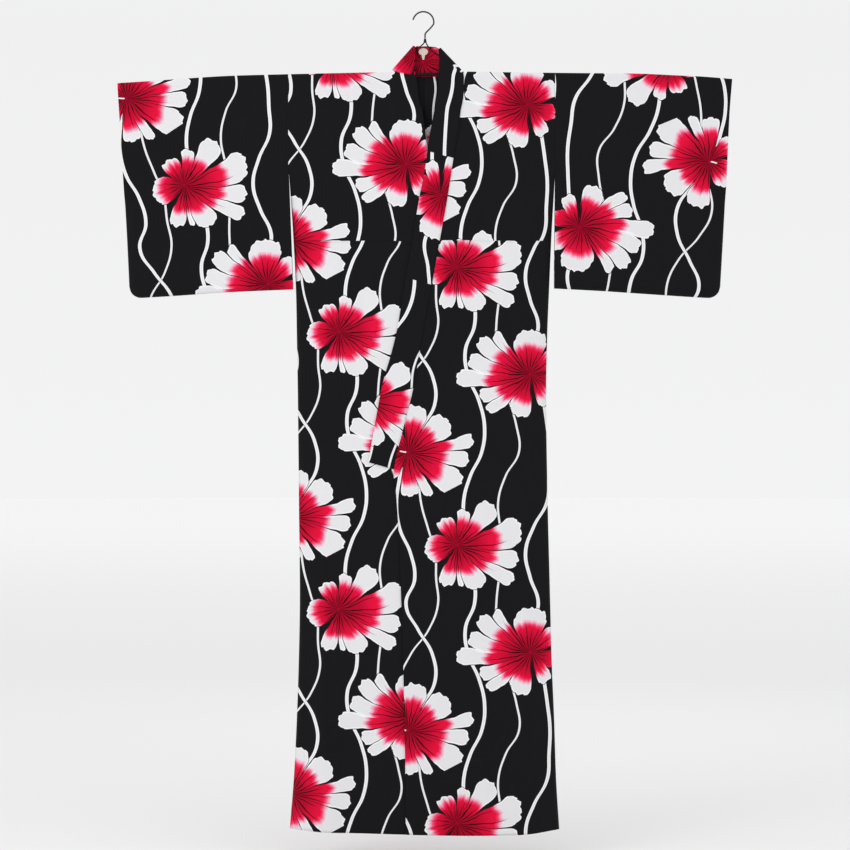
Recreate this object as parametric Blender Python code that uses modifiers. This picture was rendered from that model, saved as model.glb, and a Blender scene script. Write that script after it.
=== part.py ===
"""A cotton yukata robe, a light summer kimono, hanging wide and flat on its kimono hanger.

Metres, +Z up. The robe's front faces -Y, and left and right are the wearer's, so the left
sleeve points to +X. The origin is the point where the hanger's hook bears on what holds it.

Every cloth piece is an open grid laid on the garment's own form and given a wall. The front
and the back are two shallow shells that hang from the hanger's bar, half_depth() in front of
it and behind it, and meet at the side seams. Each body panel is divided across in three, the
first time on the tuck line at the waist.
"""

import math
from collections import namedtuple

import bmesh
import bpy

# ---------------------------------------------------------------- driving sizes, in metres

WALL = 0.0015  # one cloth with the turnings of its seams
COLLAR_WALL = 0.0025  # the folded collar band
GAP = 0.0003
SEAM = 0.0006  # between the collar and the edge that it is sewn to
PANEL_GAP = 0.0004  # between the parts of a body panel, whose end walls lean a little
EDGE = WALL / 2 + GAP / 2  # half of what keeps two facing walls apart where they meet

BAR_RADIUS = 0.004
FOLD_RADIUS = 0.0057  # middle of the cloth where it turns over the bar
WIRE_RADIUS = 0.0014
HOOK_WIRE_RADIUS = 0.0018
HOOK_RADIUS = 0.0230
KNOB_TOP_RADIUS, KNOB_FOOT_RADIUS, KNOB_HEIGHT = 0.0022, 0.0038, 0.0095

LAYER = 0.0024  # the left front lies this far out from the right front below it
COLLAR_LAYER = 0.0030  # the collar band's middle, out from the same surface
TUCK = 0.0027  # the right collar's middle, in from the right front that covers it

BODY_DEPTH = 0.019  # half depths, from the bar's plane to the cloth
HEM_DEPTH = 0.027
SLEEVE_DEPTH = 0.011
SIDE_ROUND = 0.045  # how far from a side seam the body starts to round back to it
SLEEVE_ROUND = 0.026
SLEEVE_CORNER = 0.026  # radius of the sleeve's rounded outer corner
SIDE_OPENING = 0.14  # unsewn side under each arm
CUFF_OPENING = 0.23
SLEEVE_FALL, BODY_FALL = 0.16, 0.45  # drops over which the two half depths are reached
HEM_FALL_START, HEM_FALL = 0.5, 1.1  # drop where the body starts to widen, and over what drop
ARM_BLEND = 0.10  # width in which the sleeve's depth changes to the body's
EDGE_FADE = 0.06  # width in which folds and upper layers fade out towards an edge
SLEEVE_FADE = 0.05
FOLD_DROP = 0.12  # drop over which the soft folds start
SLEEVE_FOLD_START, SLEEVE_FOLD_FADE = 0.297, 0.04  # distance from the centre
BODY_HEIGHT, SLEEVE_HEIGHT = 1.666, 0.48
NECK_LEVEL, HEM_LEVEL, SLEEVE_HEM_LEVEL = -0.14, -1.80, -0.62  # where a panel's outline is first read

TAB_WIDTH, TAB_HEIGHT, TAB_STEM, TAB_WALL = 0.0200, 0.0155, 0.0070, 0.0010
TAB_X, TAB_LEVEL, TAB_FOOT = 0.0004, -0.0860, -0.0175

Point = namedtuple("Point", "x z")
Edge = namedtuple("Edge", "z x")
Sides = namedtuple("Sides", "z right left")
Band = namedtuple("Band", "seam_x seam_z free_x free_z")
Neck = namedtuple("Neck", "x drop")
Fold = namedtuple("Fold", "x lean top bottom width height")

# The shoulder fold, the highest line of the cloth, from the right cuff to the left one.
SHOULDER = (
    Point(-0.674, -0.1550),
    Point(-0.575, -0.1485),
    Point(-0.487, -0.1423),
    Point(-0.421, -0.1386),
    Point(-0.298, -0.1353),
    Point(-0.183, -0.1327),
    Point(-0.071, -0.1305),
    Point(0.083, -0.1294),
    Point(0.164, -0.1307),
    Point(0.288, -0.1322),
    Point(0.393, -0.1331),
    Point(0.481, -0.1342),
    Point(0.547, -0.1373),
    Point(0.613, -0.1404),
    Point(0.679, -0.1457),
)

# The hem bows down a little in the middle.
HEM = (
    Point(-0.300, -1.7940),
    Point(-0.210, -1.8005),
    Point(-0.104, -1.8030),
    Point(0.037, -1.8063),
    Point(0.208, -1.8055),
    Point(0.300, -1.7962),
)

# Where the body ends on each side: the sleeve seam above the arm, the side seam below it.
SIDE_SEAMS = (
    Sides(-0.133, -0.2970, 0.2897),
    Sides(-0.340, -0.2963, 0.2897),
    Sides(-0.362, -0.2946, 0.2889),
    Sides(-0.479, -0.2867, 0.2823),
    Sides(-0.610, -0.2801, 0.2765),
    Sides(-0.720, -0.2779, 0.2721),
    Sides(-0.852, -0.2757, 0.2699),
    Sides(-1.072, -0.2735, 0.2732),
    Sides(-1.292, -0.2713, 0.2787),
    Sides(-1.424, -0.2735, 0.2820),
    Sides(-1.556, -0.2779, 0.2875),
    Sides(-1.689, -0.2845, 0.2919),
    Sides(-1.800, -0.2935, 0.2987),
)
RIGHT_ARM_END, LEFT_ARM_END = -0.340, -0.362  # where the sleeves stop being sewn on

# Inner edge of the left front, which carries the collar's seam down to the collar's end.
LEFT_FRONT_EDGE = (
    Edge(-0.129, 0.0880),
    Edge(-0.160, 0.0895),
    Edge(-0.182, 0.0895),
    Edge(-0.215, 0.0829),
    Edge(-0.254, 0.0785),
    Edge(-0.303, 0.0697),
    Edge(-0.417, 0.0521),
    Edge(-0.520, 0.0334),
    Edge(-0.613, 0.0169),
    Edge(-0.710, -0.0007),
    Edge(-0.833, -0.0227),
    Edge(-0.903, -0.0403),
    Edge(-1.006, -0.0645),
    Edge(-1.050, -0.0601),
    Edge(-1.138, -0.0541),
    Edge(-1.204, -0.0513),
    Edge(-1.402, -0.0447),
    Edge(-1.600, -0.0403),
    Edge(-1.800, -0.0381),
)

# Inner edge of the right front: open at the neck, then hidden under the left front.
RIGHT_FRONT_EDGE = (
    Edge(-0.137, -0.0161),
    Edge(-0.153, -0.0139),
    Edge(-0.195, -0.0088),
    Edge(-0.215, -0.0029),
    Edge(-0.247, 0.0029),
    Edge(-0.280, 0.0059),
    Edge(-0.303, 0.0103),
    Edge(-0.417, 0.0301),
    Edge(-0.545, 0.0521),
    Edge(-1.006, 0.0719),
    Edge(-1.204, 0.0587),
    Edge(-1.600, 0.0477),
    Edge(-1.800, 0.0455),
)

# The neck hole: the shoulder fold stops at each side of it.
NECK_RIGHT, NECK_LEFT = -0.0725, 0.0880
NECK_FRONT_TOP, NECK_FRONT_LOW = -0.1318, -0.1378  # the right front's cut edge beside the neck
NECK_EDGE_RUN = 0.057  # width in which that edge falls from the top to the low level
NECK_FLARE = 0.011  # width in which the right front stands clear of the tucked collar
FLARE_FALL = 0.08  # drop over which it comes back

# How far the back pieces' top edge drops below the shoulder fold across the neck.
NECK_BACK = (
    Neck(-0.0725, 0.0000),
    Neck(-0.0665, 0.0014),
    Neck(-0.0615, 0.0042),
    Neck(-0.0560, 0.0090),
    Neck(-0.0350, 0.0096),
    Neck(0.0500, 0.0096),
    Neck(0.0715, 0.0090),
    Neck(0.0770, 0.0042),
    Neck(0.0820, 0.0014),
    Neck(0.0880, 0.0000),
)

# Free edge of the collar where it crosses the front, and the same for the tucked side.
LEFT_COLLAR_FREE = (
    Edge(-0.178, 0.0323),
    Edge(-0.280, 0.0125),
    Edge(-0.334, 0.0059),
    Edge(-0.417, -0.0101),
    Edge(-0.498, -0.0227),
    Edge(-0.613, -0.0431),
    Edge(-0.698, -0.0572),
    Edge(-0.757, -0.0717),
    Edge(-0.815, -0.0885),
    Edge(-0.901, -0.1050),
    Edge(-0.989, -0.1201),
)
RIGHT_COLLAR_SEAM = (
    Edge(-0.175, -0.0510),
    Edge(-0.210, -0.0530),
    Edge(-0.247, -0.0525),
    Edge(-0.303, -0.0480),
    Edge(-0.417, -0.0293),
    Edge(-0.545, -0.0073),
    Edge(-0.996, 0.0125),
)
COLLAR_RISE = 0.0154  # a row across the band climbs this much from the seam to the free edge
LEFT_COLLAR_END, RIGHT_COLLAR_END = -1.0045, -0.9960
OVER_COLLAR_END = -0.6025  # the over-collar stops here, at the seam, on both fronts
HIDDEN_EDGE = 0.0022  # the tucked collar's free edge stays this far behind its front's edge

# The band from the left front up to the fold beside the neck: how far each row's seam end lies
# below the shoulder fold, and its free end.
LEFT_NECK_ROWS = (
    (0.0640, 0.0326, -0.1750),
    (0.0420, 0.0333, -0.1450),
    (0.0220, 0.0342, -0.1180),
    (0.0075, 0.0354, -0.0980),
)
LEFT_NECK_FOLD = Band(0.0824, -0.1268, 0.0367, -0.0785)
# Behind the neck, from the left fold to the right one: where each row stands at the seam and
# at the free edge.
BACK_NECK_ROWS = (
    (0.0715, 0.0330, -0.0768),
    (0.0470, 0.0240, -0.0752),
    (0.0230, 0.0130, -0.0742),
    (-0.0010, 0.0030, -0.0738),
    (-0.0290, -0.0070, -0.0738),
    (-0.0560, -0.0150, -0.0734),
)
RIGHT_NECK_FOLD = Band(-0.0668, -0.1262, -0.0205, -0.0737)
# Down from the right fold, behind the right front.
RIGHT_NECK_ROWS = (
    Band(-0.0550, -0.1322, -0.0186, -0.1020),
    Band(-0.0515, -0.1440, -0.0180, -0.1230),
    Band(-0.0510, -0.1590, -0.0178, -0.1420),
)

# Soft vertical folds; height is how far the cloth stands out there, or in where it is minus.
FRONT_FOLDS = (
    Fold(-0.235, 0.000, -0.95, -2.05, 0.034, 0.0045),
    Fold(-0.165, 0.010, -1.05, -2.10, 0.040, -0.0045),
    Fold(-0.095, 0.010, -0.70, -1.60, 0.045, 0.0025),
    Fold(0.105, -0.010, -0.75, -2.10, 0.045, 0.0030),
    Fold(0.175, -0.010, -0.60, -2.05, 0.038, -0.0040),
    Fold(0.238, 0.010, -0.90, -2.10, 0.034, 0.0040),
    Fold(0.160, -0.020, -0.14, -0.55, 0.030, -0.0025),
    Fold(-0.150, 0.020, -0.14, -0.60, 0.032, -0.0025),
)
BACK_FOLDS = (
    Fold(-0.225, 0.010, -0.80, -2.10, 0.036, 0.0040),
    Fold(-0.150, 0.000, -0.60, -2.05, 0.042, -0.0040),
    Fold(-0.060, 0.010, -0.90, -2.10, 0.045, 0.0030),
    Fold(0.050, -0.010, -0.70, -2.05, 0.045, -0.0030),
    Fold(0.130, 0.010, -1.00, -2.10, 0.038, 0.0040),
    Fold(0.215, -0.010, -0.75, -2.10, 0.038, -0.0035),
)
SLEEVE_FOLDS = (
    Fold(-0.560, 0.030, -0.15, -0.72, 0.034, 0.0022),
    Fold(-0.450, 0.010, -0.14, -0.74, 0.040, -0.0022),
    Fold(-0.360, -0.010, -0.20, -0.72, 0.034, 0.0018),
    Fold(0.350, 0.010, -0.18, -0.74, 0.036, -0.0020),
    Fold(0.440, 0.000, -0.14, -0.72, 0.040, 0.0022),
    Fold(0.570, -0.030, -0.15, -0.74, 0.036, -0.0022),
)

# Sleeve outlines: the cuff edge runs down, the bottom edge runs out from the body.
RIGHT_CUFF = (
    Edge(-0.155, -0.6728),
    Edge(-0.289, -0.6640),
    Edge(-0.474, -0.6527),
    Edge(-0.628, -0.6453),
)
LEFT_CUFF = (
    Edge(-0.146, 0.6791),
    Edge(-0.228, 0.6725),
    Edge(-0.390, 0.6648),
    Edge(-0.492, 0.6593),
    Edge(-0.626, 0.6516),
)
RIGHT_SLEEVE_BOTTOM = (
    Point(-0.660, -0.6300),
    Point(-0.553, -0.6237),
    Point(-0.421, -0.6149),
    Point(-0.285, -0.6090),
)
LEFT_SLEEVE_BOTTOM = (
    Point(0.286, -0.6070),
    Point(0.393, -0.6127),
    Point(0.459, -0.6171),
    Point(0.591, -0.6259),
    Point(0.660, -0.6295),
)
# Inner edge of each sleeve: sewn to the body above, hanging open below.
RIGHT_SLEEVE_INNER = (
    Edge(-0.133, -0.2976),
    Edge(-0.340, -0.2971),
    Edge(-0.362, -0.2962),
    Edge(-0.609, -0.2867),
)
LEFT_SLEEVE_INNER = (
    Edge(-0.133, 0.2903),
    Edge(-0.340, 0.2903),
    Edge(-0.368, 0.2901),
    Edge(-0.607, 0.2878),
)

BAR_RIGHT_END, BAR_LEFT_END, BAR_POINTS = -0.410, 0.470, 13
WIRE_FOOT_RIGHT, WIRE_FOOT_LEFT = -0.0622, 0.0700  # where the two wires stand on the bar
WIRE_OUT, WIRE_CLEAR = 0.0020, 0.0015  # a wire's start from the knob's middle and below its foot
WIRE_UPRIGHT = 0.004
STEM_X, STEM_FOOT = 0.0038, -0.0570
HOOK_TIP_ANGLE, HOOK_HEEL_ANGLE = 169.0, -12.0  # degrees round the hook, 0 towards the left
HOOK_STEPS = 15
# From the round of the hook in towards its straight stem.
HOOK_SHANK = (
    Point(0.0205, -0.0280),
    Point(0.0167, -0.0332),
    Point(0.0103, -0.0398),
    Point(0.0070, -0.0430),
    Point(0.0048, -0.0462),
    Point(0.0038, -0.0500),
)
WIRE_BENDS_RIGHT = (Point(-0.0084, -0.0767), Point(-0.0200, -0.0830), Point(-0.0430, -0.1040))
WIRE_BENDS_LEFT = (Point(0.0119, -0.0767), Point(0.0190, -0.0845), Point(0.0530, -0.1090))

# Fractions across and down the grids; the rows start close together on the shoulder fold.
SIDE_COLUMNS = (0.0, 0.03, 0.08, 0.16)  # close together where the cloth rounds to its seam
LEFT_FRONT_COLUMNS = SIDE_COLUMNS + (0.27, 0.39, 0.51, 0.63, 0.75, 0.87, 1.0)
RIGHT_FRONT_COLUMNS = SIDE_COLUMNS + (0.27, 0.38, 0.49, 0.60, 0.71, 0.799, 0.838, 0.92, 1.0)
BACK_SIDE_COLUMNS = SIDE_COLUMNS + (0.28, 0.40, 0.52, 0.64)  # the rest follow the neck's edge
NECK_COLUMN_END = 0.97  # no column of its own between this one and the centre seam
SLEEVE_COLUMNS = (0.0, 0.14, 0.29, 0.44, 0.59, 0.74, 0.87, 0.935, 0.98, 1.0)
COLLAR_COLUMNS = (0.0, 0.33, 0.67, 1.0)
FOLD_ROWS = 3
UPPER_DROPS = (0.0075, 0.022, 0.042, 0.064, 0.090, 0.120, 0.155, 0.195, 0.240, 0.290)
LOWER_ROWS, SLEEVE_ROWS = 17, 10
SLEEVE_LAST_ROWS = (0.945, 0.985, 1.0)
PANEL_PARTS = ("upper", "middle", "lower")
PANEL_BREAKS = (13, 21)  # rows where a body panel is divided
BAND_START = 0.020  # from the last row beside the neck down to the band's first one on the front
COLLAR_TURNS = 4  # steps of the half turn at each side of the neck

# ---------------------------------------------------------------- reading the tables


def smooth(t):
    """Rises from 0 at t = 0 to 1 at t = 1, level at both ends."""
    t = min(max(t, 0.0), 1.0)
    return t * t * (3.0 - 2.0 * t)


def mix(a, b, t):
    return a + (b - a) * t


def read(table, key, column):
    """One named column at this value of the table's first column, on a curve through its rows."""
    rows = sorted(table)
    keys = [row[0] for row in rows]
    values = [getattr(row, column) for row in rows]
    last = len(rows) - 1
    key = min(max(key, keys[0]), keys[last])
    i = max(j for j in range(last) if keys[j] <= key)

    def slope(j):
        a, b = max(j - 1, 0), min(j + 1, last)
        return (values[b] - values[a]) / (keys[b] - keys[a])

    step = keys[i + 1] - keys[i]
    t = (key - keys[i]) / step
    rise = values[i + 1] - values[i]
    ease = t * t * (3.0 - 2.0 * t)
    lead = t * (1.0 - t) * (1.0 - t) * step * slope(i)
    trail = t * t * (t - 1.0) * step * slope(i + 1)
    return values[i] + rise * ease + lead + trail


def shoulder(x):
    """Height of the middle of the cloth on the shoulder fold."""
    return read(SHOULDER, x, "z") - WALL / 2


# ---------------------------------------------------------------- the garment's form


def folded(x, z, folds):
    """How far the soft folds move the cloth out at this place."""
    total = 0.0
    for fold in folds:
        along = (fold.top - z) / (fold.top - fold.bottom)
        if 0.0 < along < 1.0:
            off = (x - fold.x - fold.lean * along) / fold.width
            total += fold.height * math.exp(-off * off) * smooth(along * 3.0) * smooth((1.0 - along) * 3.0)
    return total


def over_bar(drop):
    """The quarter turn over the bar: 0 on the shoulder fold, 1 from one fold radius below it."""
    rise = 1.0 - min(max(drop / FOLD_RADIUS, 0.0), 1.0)
    return math.sqrt(1.0 - rise * rise)


def rounded(distance, width):
    """The quarter turn back to a closed seam: 0 on the seam, 1 from this width inside it."""
    left = 1.0 - min(max(distance / width, 0.0), 1.0)
    return math.sqrt(1.0 - left * left)


def sleeve_fall(drop):
    return mix(FOLD_RADIUS, SLEEVE_DEPTH, smooth(drop / SLEEVE_FALL))


def body_fall(drop):
    fall = mix(FOLD_RADIUS, BODY_DEPTH, smooth(drop / BODY_FALL))
    return fall + (HEM_DEPTH - BODY_DEPTH) * smooth((drop - HEM_FALL_START) / HEM_FALL)


def side_distance(x, z):
    """How far inside the nearer side seam this place lies."""
    return min(x - read(SIDE_SEAMS, z, "right"), read(SIDE_SEAMS, z, "left") - x)


def body_depth(x, z, folds, clear=0.0):
    """Half depth of the body: open to the sleeve above the arm, closed at the side seam below.

    Where clear is 1 the cloth stands clear of the bar, as it does beside the neck.
    """
    drop = shoulder(x) - z
    inside = side_distance(x, z)
    arm_end = RIGHT_ARM_END if x < 0 else LEFT_ARM_END
    depth = mix(sleeve_fall(drop), body_fall(drop), smooth(inside / ARM_BLEND))
    closed = EDGE + (depth - EDGE) * rounded(inside, SIDE_ROUND)
    depth = mix(depth, closed, smooth((arm_end - z) / SIDE_OPENING))
    depth += folded(x, z, folds) * smooth(inside / EDGE_FADE) * smooth(drop / FOLD_DROP)
    return EDGE + (depth - EDGE) * mix(over_bar(drop), 1.0, clear)


def front_depth(x, z):
    return body_depth(x, z, FRONT_FOLDS)


def layered(x, z, thickness):
    """What an upper layer adds, fading out at the shoulder fold and at the side seam."""
    inside, drop = side_distance(x, z), shoulder(x) - z
    return thickness * smooth(inside / EDGE_FADE) * smooth(drop / EDGE_FADE)


def sleeve_depth(x, z, cuff_distance, bottom_distance):
    drop = shoulder(x) - z
    depth = sleeve_fall(drop)
    closed = EDGE + (depth - EDGE) * rounded(cuff_distance, SLEEVE_ROUND)
    depth = mix(depth, closed, smooth((drop - CUFF_OPENING) / SLEEVE_FADE))
    depth = EDGE + (depth - EDGE) * rounded(bottom_distance, SLEEVE_ROUND)
    near = smooth(min(cuff_distance, bottom_distance) / SLEEVE_FADE)
    inner = smooth((abs(x) - SLEEVE_FOLD_START) / SLEEVE_FOLD_FADE)
    depth += folded(x, z, SLEEVE_FOLDS) * near * inner * smooth(drop / FOLD_DROP)
    return EDGE + (depth - EDGE) * over_bar(drop)


# ---------------------------------------------------------------- making the pieces

for old in list(bpy.data.objects):
    bpy.data.objects.remove(old)

robe = bpy.data.collections.new("yukata_robe")
bpy.context.scene.collection.children.link(robe)


def finish(name, colour, roughness, metallic=0.0):
    material = bpy.data.materials.new(name)
    material.use_nodes = True
    shader = material.node_tree.nodes["Principled BSDF"]
    shader.inputs["Base Color"].default_value = (*colour, 1.0)
    shader.inputs["Roughness"].default_value = roughness
    shader.inputs["Metallic"].default_value = metallic
    return material


def add(name, data, material):
    made = bpy.data.objects.new(name, data)
    data.materials.append(material)
    robe.objects.link(made)
    return made


def cloth(name, columns, rows, place, wall, colour):
    """A cloth piece: a grid laid by place(across, down), with half of its wall on each side."""
    mesh = bpy.data.meshes.new(name)
    bm = bmesh.new()
    bmesh.ops.create_grid(bm, x_segments=len(columns) - 1, y_segments=len(rows) - 1, size=1.0)
    for vert in bm.verts:
        across = columns[round((vert.co.x + 1.0) / 2.0 * (len(columns) - 1))]
        down = rows[round((vert.co.y + 1.0) / 2.0 * (len(rows) - 1))]
        vert.co = place(across, down)
    bm.to_mesh(mesh)
    bm.free()
    mesh.shade_smooth()
    piece = add(name, mesh, finish(name, colour, 0.85))
    solid = piece.modifiers.new("wall", "SOLIDIFY")
    solid.thickness = wall
    solid.offset = 0.0
    solid.use_even_offset = True
    return piece


def hanging_rows(height, drops, count):
    """Fractions down a hanging piece: round the bar, at these drops, then in even steps."""
    turn = [math.pi / 2 * step / FOLD_ROWS for step in range(FOLD_ROWS)]
    near = [FOLD_RADIUS * (1.0 - math.cos(angle)) for angle in turn] + list(drops)
    start = near.pop() / height
    return [drop / height for drop in near] + [mix(start, 1.0, i / count) for i in range(count + 1)]


def wire(name, points, radius, material):
    """A round bar or wire along these points, with flat ends."""
    path = bpy.data.curves.new(name, "CURVE")
    path.dimensions = "3D"
    path.bevel_depth = radius
    path.bevel_resolution = 2
    path.use_fill_caps = True
    spline = path.splines.new("POLY")
    spline.points.add(len(points) - 1)
    for target, (x, y, z) in zip(spline.points, points):
        target.co = (x, y, z, 1.0)
    return add(name, path, material)


BLACK_PRINT = (0.012, 0.012, 0.014)
RED_PRINT = (0.42, 0.02, 0.05)

# ---------------------------------------------------------------- body panels


def hung_place(x_of, top_of, depth_of, facing):
    """Lays a panel between its top edge and the hem; facing is -1 for a front, 1 for a back."""

    def place(across, down):
        z = mix(top_of(x_of(across, NECK_LEVEL)), HEM_LEVEL, down)
        x = x_of(across, z)
        z = mix(top_of(x), read(HEM, x, "z"), down)
        return (x, facing * depth_of(x, z), z)

    return place


def right_front_x(across, z):
    return mix(read(SIDE_SEAMS, z, "right"), read(RIGHT_FRONT_EDGE, z, "x"), across)


def right_front_top(x):
    """The shoulder fold, then the short cut edge beside the neck."""
    if x <= NECK_RIGHT + 0.0005:
        return shoulder(x)
    return mix(NECK_FRONT_TOP, NECK_FRONT_LOW, smooth((x - NECK_RIGHT) / NECK_EDGE_RUN))


def right_front_depth(x, z):
    """Beside the neck this front stands off a little, because the collar passes behind it."""
    clear = smooth((x - NECK_RIGHT) / NECK_FLARE)
    flare = TUCK * clear * (1.0 - smooth((shoulder(x) - z) / FLARE_FALL))
    return body_depth(x, z, FRONT_FOLDS, clear) + flare


def left_front_x(across, z):
    return mix(read(SIDE_SEAMS, z, "left"), read(LEFT_FRONT_EDGE, z, "x"), across)


def left_front_depth(x, z):
    return front_depth(x, z) + layered(x, z, LAYER)


def back_x(side):
    def x_of(across, z):
        seam = read(SIDE_SEAMS, z, side)
        return mix(seam, math.copysign(GAP / 2 + 0.0001, seam), across)

    return x_of


def back_top(x):
    return shoulder(x) - read(NECK_BACK, x, "drop")


def back_depth(x, z):
    return body_depth(x, z, BACK_FOLDS)


body_rows = hanging_rows(BODY_HEIGHT, UPPER_DROPS, LOWER_ROWS)


def panel(name, columns, place):
    """A body panel in its three parts, which stop half a gap before each row that divides them."""
    ends = (0, *PANEL_BREAKS, len(body_rows) - 1)
    for part, first, last in zip(PANEL_PARTS, ends, ends[1:]):
        rows = body_rows[first : last + 1]
        rows[0] += PANEL_GAP / 2 / BODY_HEIGHT if first in PANEL_BREAKS else 0.0
        rows[-1] -= PANEL_GAP / 2 / BODY_HEIGHT if last in PANEL_BREAKS else 0.0
        cloth(f"{name}_{part}", columns, rows, place, WALL, BLACK_PRINT)


place_right_front = hung_place(right_front_x, right_front_top, right_front_depth, -1)
place_left_front = hung_place(left_front_x, shoulder, left_front_depth, -1)
panel("front_right", RIGHT_FRONT_COLUMNS, place_right_front)
panel("front_left", LEFT_FRONT_COLUMNS, place_left_front)
for side in ("right", "left"):
    seam_x = read(SIDE_SEAMS, NECK_LEVEL, side)
    neck = [point.x / seam_x for point in NECK_BACK if point.x * seam_x > 0]
    neck = [1.0 - part for part in sorted(neck, reverse=True)]
    neck = [part for part in neck if part < NECK_COLUMN_END]
    place = hung_place(back_x(side), back_top, back_depth, 1)
    panel(f"back_{side}", BACK_SIDE_COLUMNS + (*neck, 1.0), place)

# ---------------------------------------------------------------- sleeves


def sleeve_place(inner, cuff, bottom, facing):
    """Lays one side of a sleeve between its sewn edge and its cuff, with the outer corner round."""

    def place(across, down):
        z = mix(NECK_LEVEL, SLEEVE_HEM_LEVEL, down)
        for _ in range(3):
            x = mix(read(inner, z, "x"), read(cuff, z, "x"), across)
            cuff_distance = abs(read(cuff, z, "x") - x)
            low = read(bottom, x, "z")
            short = max(SLEEVE_CORNER - cuff_distance, 0.0)
            low += SLEEVE_CORNER - math.sqrt(SLEEVE_CORNER**2 - short**2)
            z = mix(shoulder(x), low, down)
        return (x, facing * sleeve_depth(x, z, cuff_distance, z - low), z)

    return place


sleeve_rows = hanging_rows(SLEEVE_HEIGHT, (FOLD_RADIUS,), SLEEVE_ROWS)
sleeve_rows = sleeve_rows[:-1] + list(SLEEVE_LAST_ROWS)
for side, outline in (
    ("right", (RIGHT_SLEEVE_INNER, RIGHT_CUFF, RIGHT_SLEEVE_BOTTOM)),
    ("left", (LEFT_SLEEVE_INNER, LEFT_CUFF, LEFT_SLEEVE_BOTTOM)),
):
    for face, facing in (("front", -1), ("back", 1)):
        place = sleeve_place(*outline, facing)
        cloth(f"sleeve_{side}_{face}", SLEEVE_COLUMNS, sleeve_rows, place, WALL, BLACK_PRINT)

# ---------------------------------------------------------------- collar

Row = namedtuple("Row", "seam free")  # the two ends of a row across the band, as (x, y, z)


def collar_depth(x, z, layer):
    """Half depth of the band over the front, or behind it where the layer is minus."""
    z = min(z, shoulder(x) - FOLD_RADIUS)
    drop = shoulder(x) - z
    return front_depth(x, z) + layer * smooth((drop - FOLD_RADIUS) / EDGE_FADE)


def flat_row(band, layer):
    """A row on the front of the robe."""
    seam_depth = collar_depth(band.seam_x, band.seam_z, layer)
    free_depth = collar_depth(band.free_x, band.free_z, layer)
    return Row(
        (band.seam_x, -seam_depth, band.seam_z),
        (band.free_x, -free_depth, band.free_z),
    )


left_seam = [place_left_front(1.0, down) for down in body_rows]  # the edge that it is sewn to


def left_seam_x(z):
    """The same straight runs between rows as the left front's own edge."""
    for (x_above, _, above), (x_below, _, below) in zip(left_seam, left_seam[1:]):
        if below <= z <= above:
            return mix(x_above, x_below, (above - z) / (above - below)) - SEAM
    return left_seam[0][0] - SEAM


def left_band(z):
    free_z = z + COLLAR_RISE
    return Band(left_seam_x(z), z, read(LEFT_COLLAR_FREE, free_z, "x"), free_z)


def right_band(z):
    free_z = z + COLLAR_RISE
    free_x = read(RIGHT_FRONT_EDGE, free_z, "x") - HIDDEN_EDGE
    return Band(read(RIGHT_COLLAR_SEAM, z, "x"), z, free_x, free_z)


def levels(top, bottom):
    """The heights of the front's own rows between these two, and the two."""
    return [top] + [z for x, y, z in left_seam if bottom + SEAM < z < top - SEAM] + [bottom]


def turned_rows(fold, into, start):
    """The half turn at one side of the neck: it starts on the front at -1 or on the back at 1."""
    along_x, along_z = fold.free_x - fold.seam_x, fold.free_z - fold.seam_z
    length = math.hypot(along_x, along_z)
    out_x, out_z = into * -along_z / length, into * along_x / length
    rows = []
    for step in range(COLLAR_TURNS + 1):
        angle = math.pi * step / COLLAR_TURNS
        reach = FOLD_RADIUS * (math.sin(angle) - 1.0)
        y = start * FOLD_RADIUS * math.cos(angle)
        move_x, move_z = out_x * reach, out_z * reach
        seam = (fold.seam_x + move_x, y, fold.seam_z + move_z)
        free = (fold.free_x + move_x, y, fold.free_z + move_z)
        rows.append(Row(seam, free))
    return rows


def back_row(seam_x, free_x, free_z):
    seam_z = back_top(seam_x)
    depth = back_depth(seam_x, seam_z)
    return Row((seam_x, depth, seam_z + SEAM), (free_x, depth, free_z))


def band_place(rows):
    def place(across, down):
        row = rows[down]
        return tuple(mix(a, b, across) for a, b in zip(row.seam, row.free))

    return place


def collar_piece(name, rows):
    place = band_place(rows)
    cloth(name, COLLAR_COLUMNS, list(range(len(rows))), place, COLLAR_WALL, RED_PRINT)


neck_bands = []
for drop, free_x, free_z in LEFT_NECK_ROWS:
    seam_z = shoulder(NECK_LEFT) - drop
    neck_bands.append(Band(left_seam_x(seam_z), seam_z, free_x, free_z))

left_levels = levels(neck_bands[0].seam_z - BAND_START, OVER_COLLAR_END)
right_levels = levels(RIGHT_NECK_ROWS[-1].seam_z - BAND_START, OVER_COLLAR_END)
over_collar = [flat_row(left_band(z), COLLAR_LAYER) for z in reversed(left_levels)]
over_collar += [flat_row(band, COLLAR_LAYER) for band in neck_bands]
over_collar += turned_rows(LEFT_NECK_FOLD, -1, -1)
over_collar += [back_row(*row) for row in BACK_NECK_ROWS]
over_collar += turned_rows(RIGHT_NECK_FOLD, 1, 1)
over_collar += [flat_row(band, -TUCK) for band in RIGHT_NECK_ROWS]
over_collar += [flat_row(right_band(z), -TUCK) for z in right_levels]
collar_piece("over_collar", over_collar)

below = OVER_COLLAR_END - GAP
left_end = [flat_row(left_band(z), COLLAR_LAYER) for z in levels(below, LEFT_COLLAR_END)]
right_end = [flat_row(right_band(z), -TUCK) for z in levels(below, RIGHT_COLLAR_END)]
collar_piece("collar_left", left_end)
collar_piece("collar_right", right_end)

# ---------------------------------------------------------------- neck tab


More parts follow.
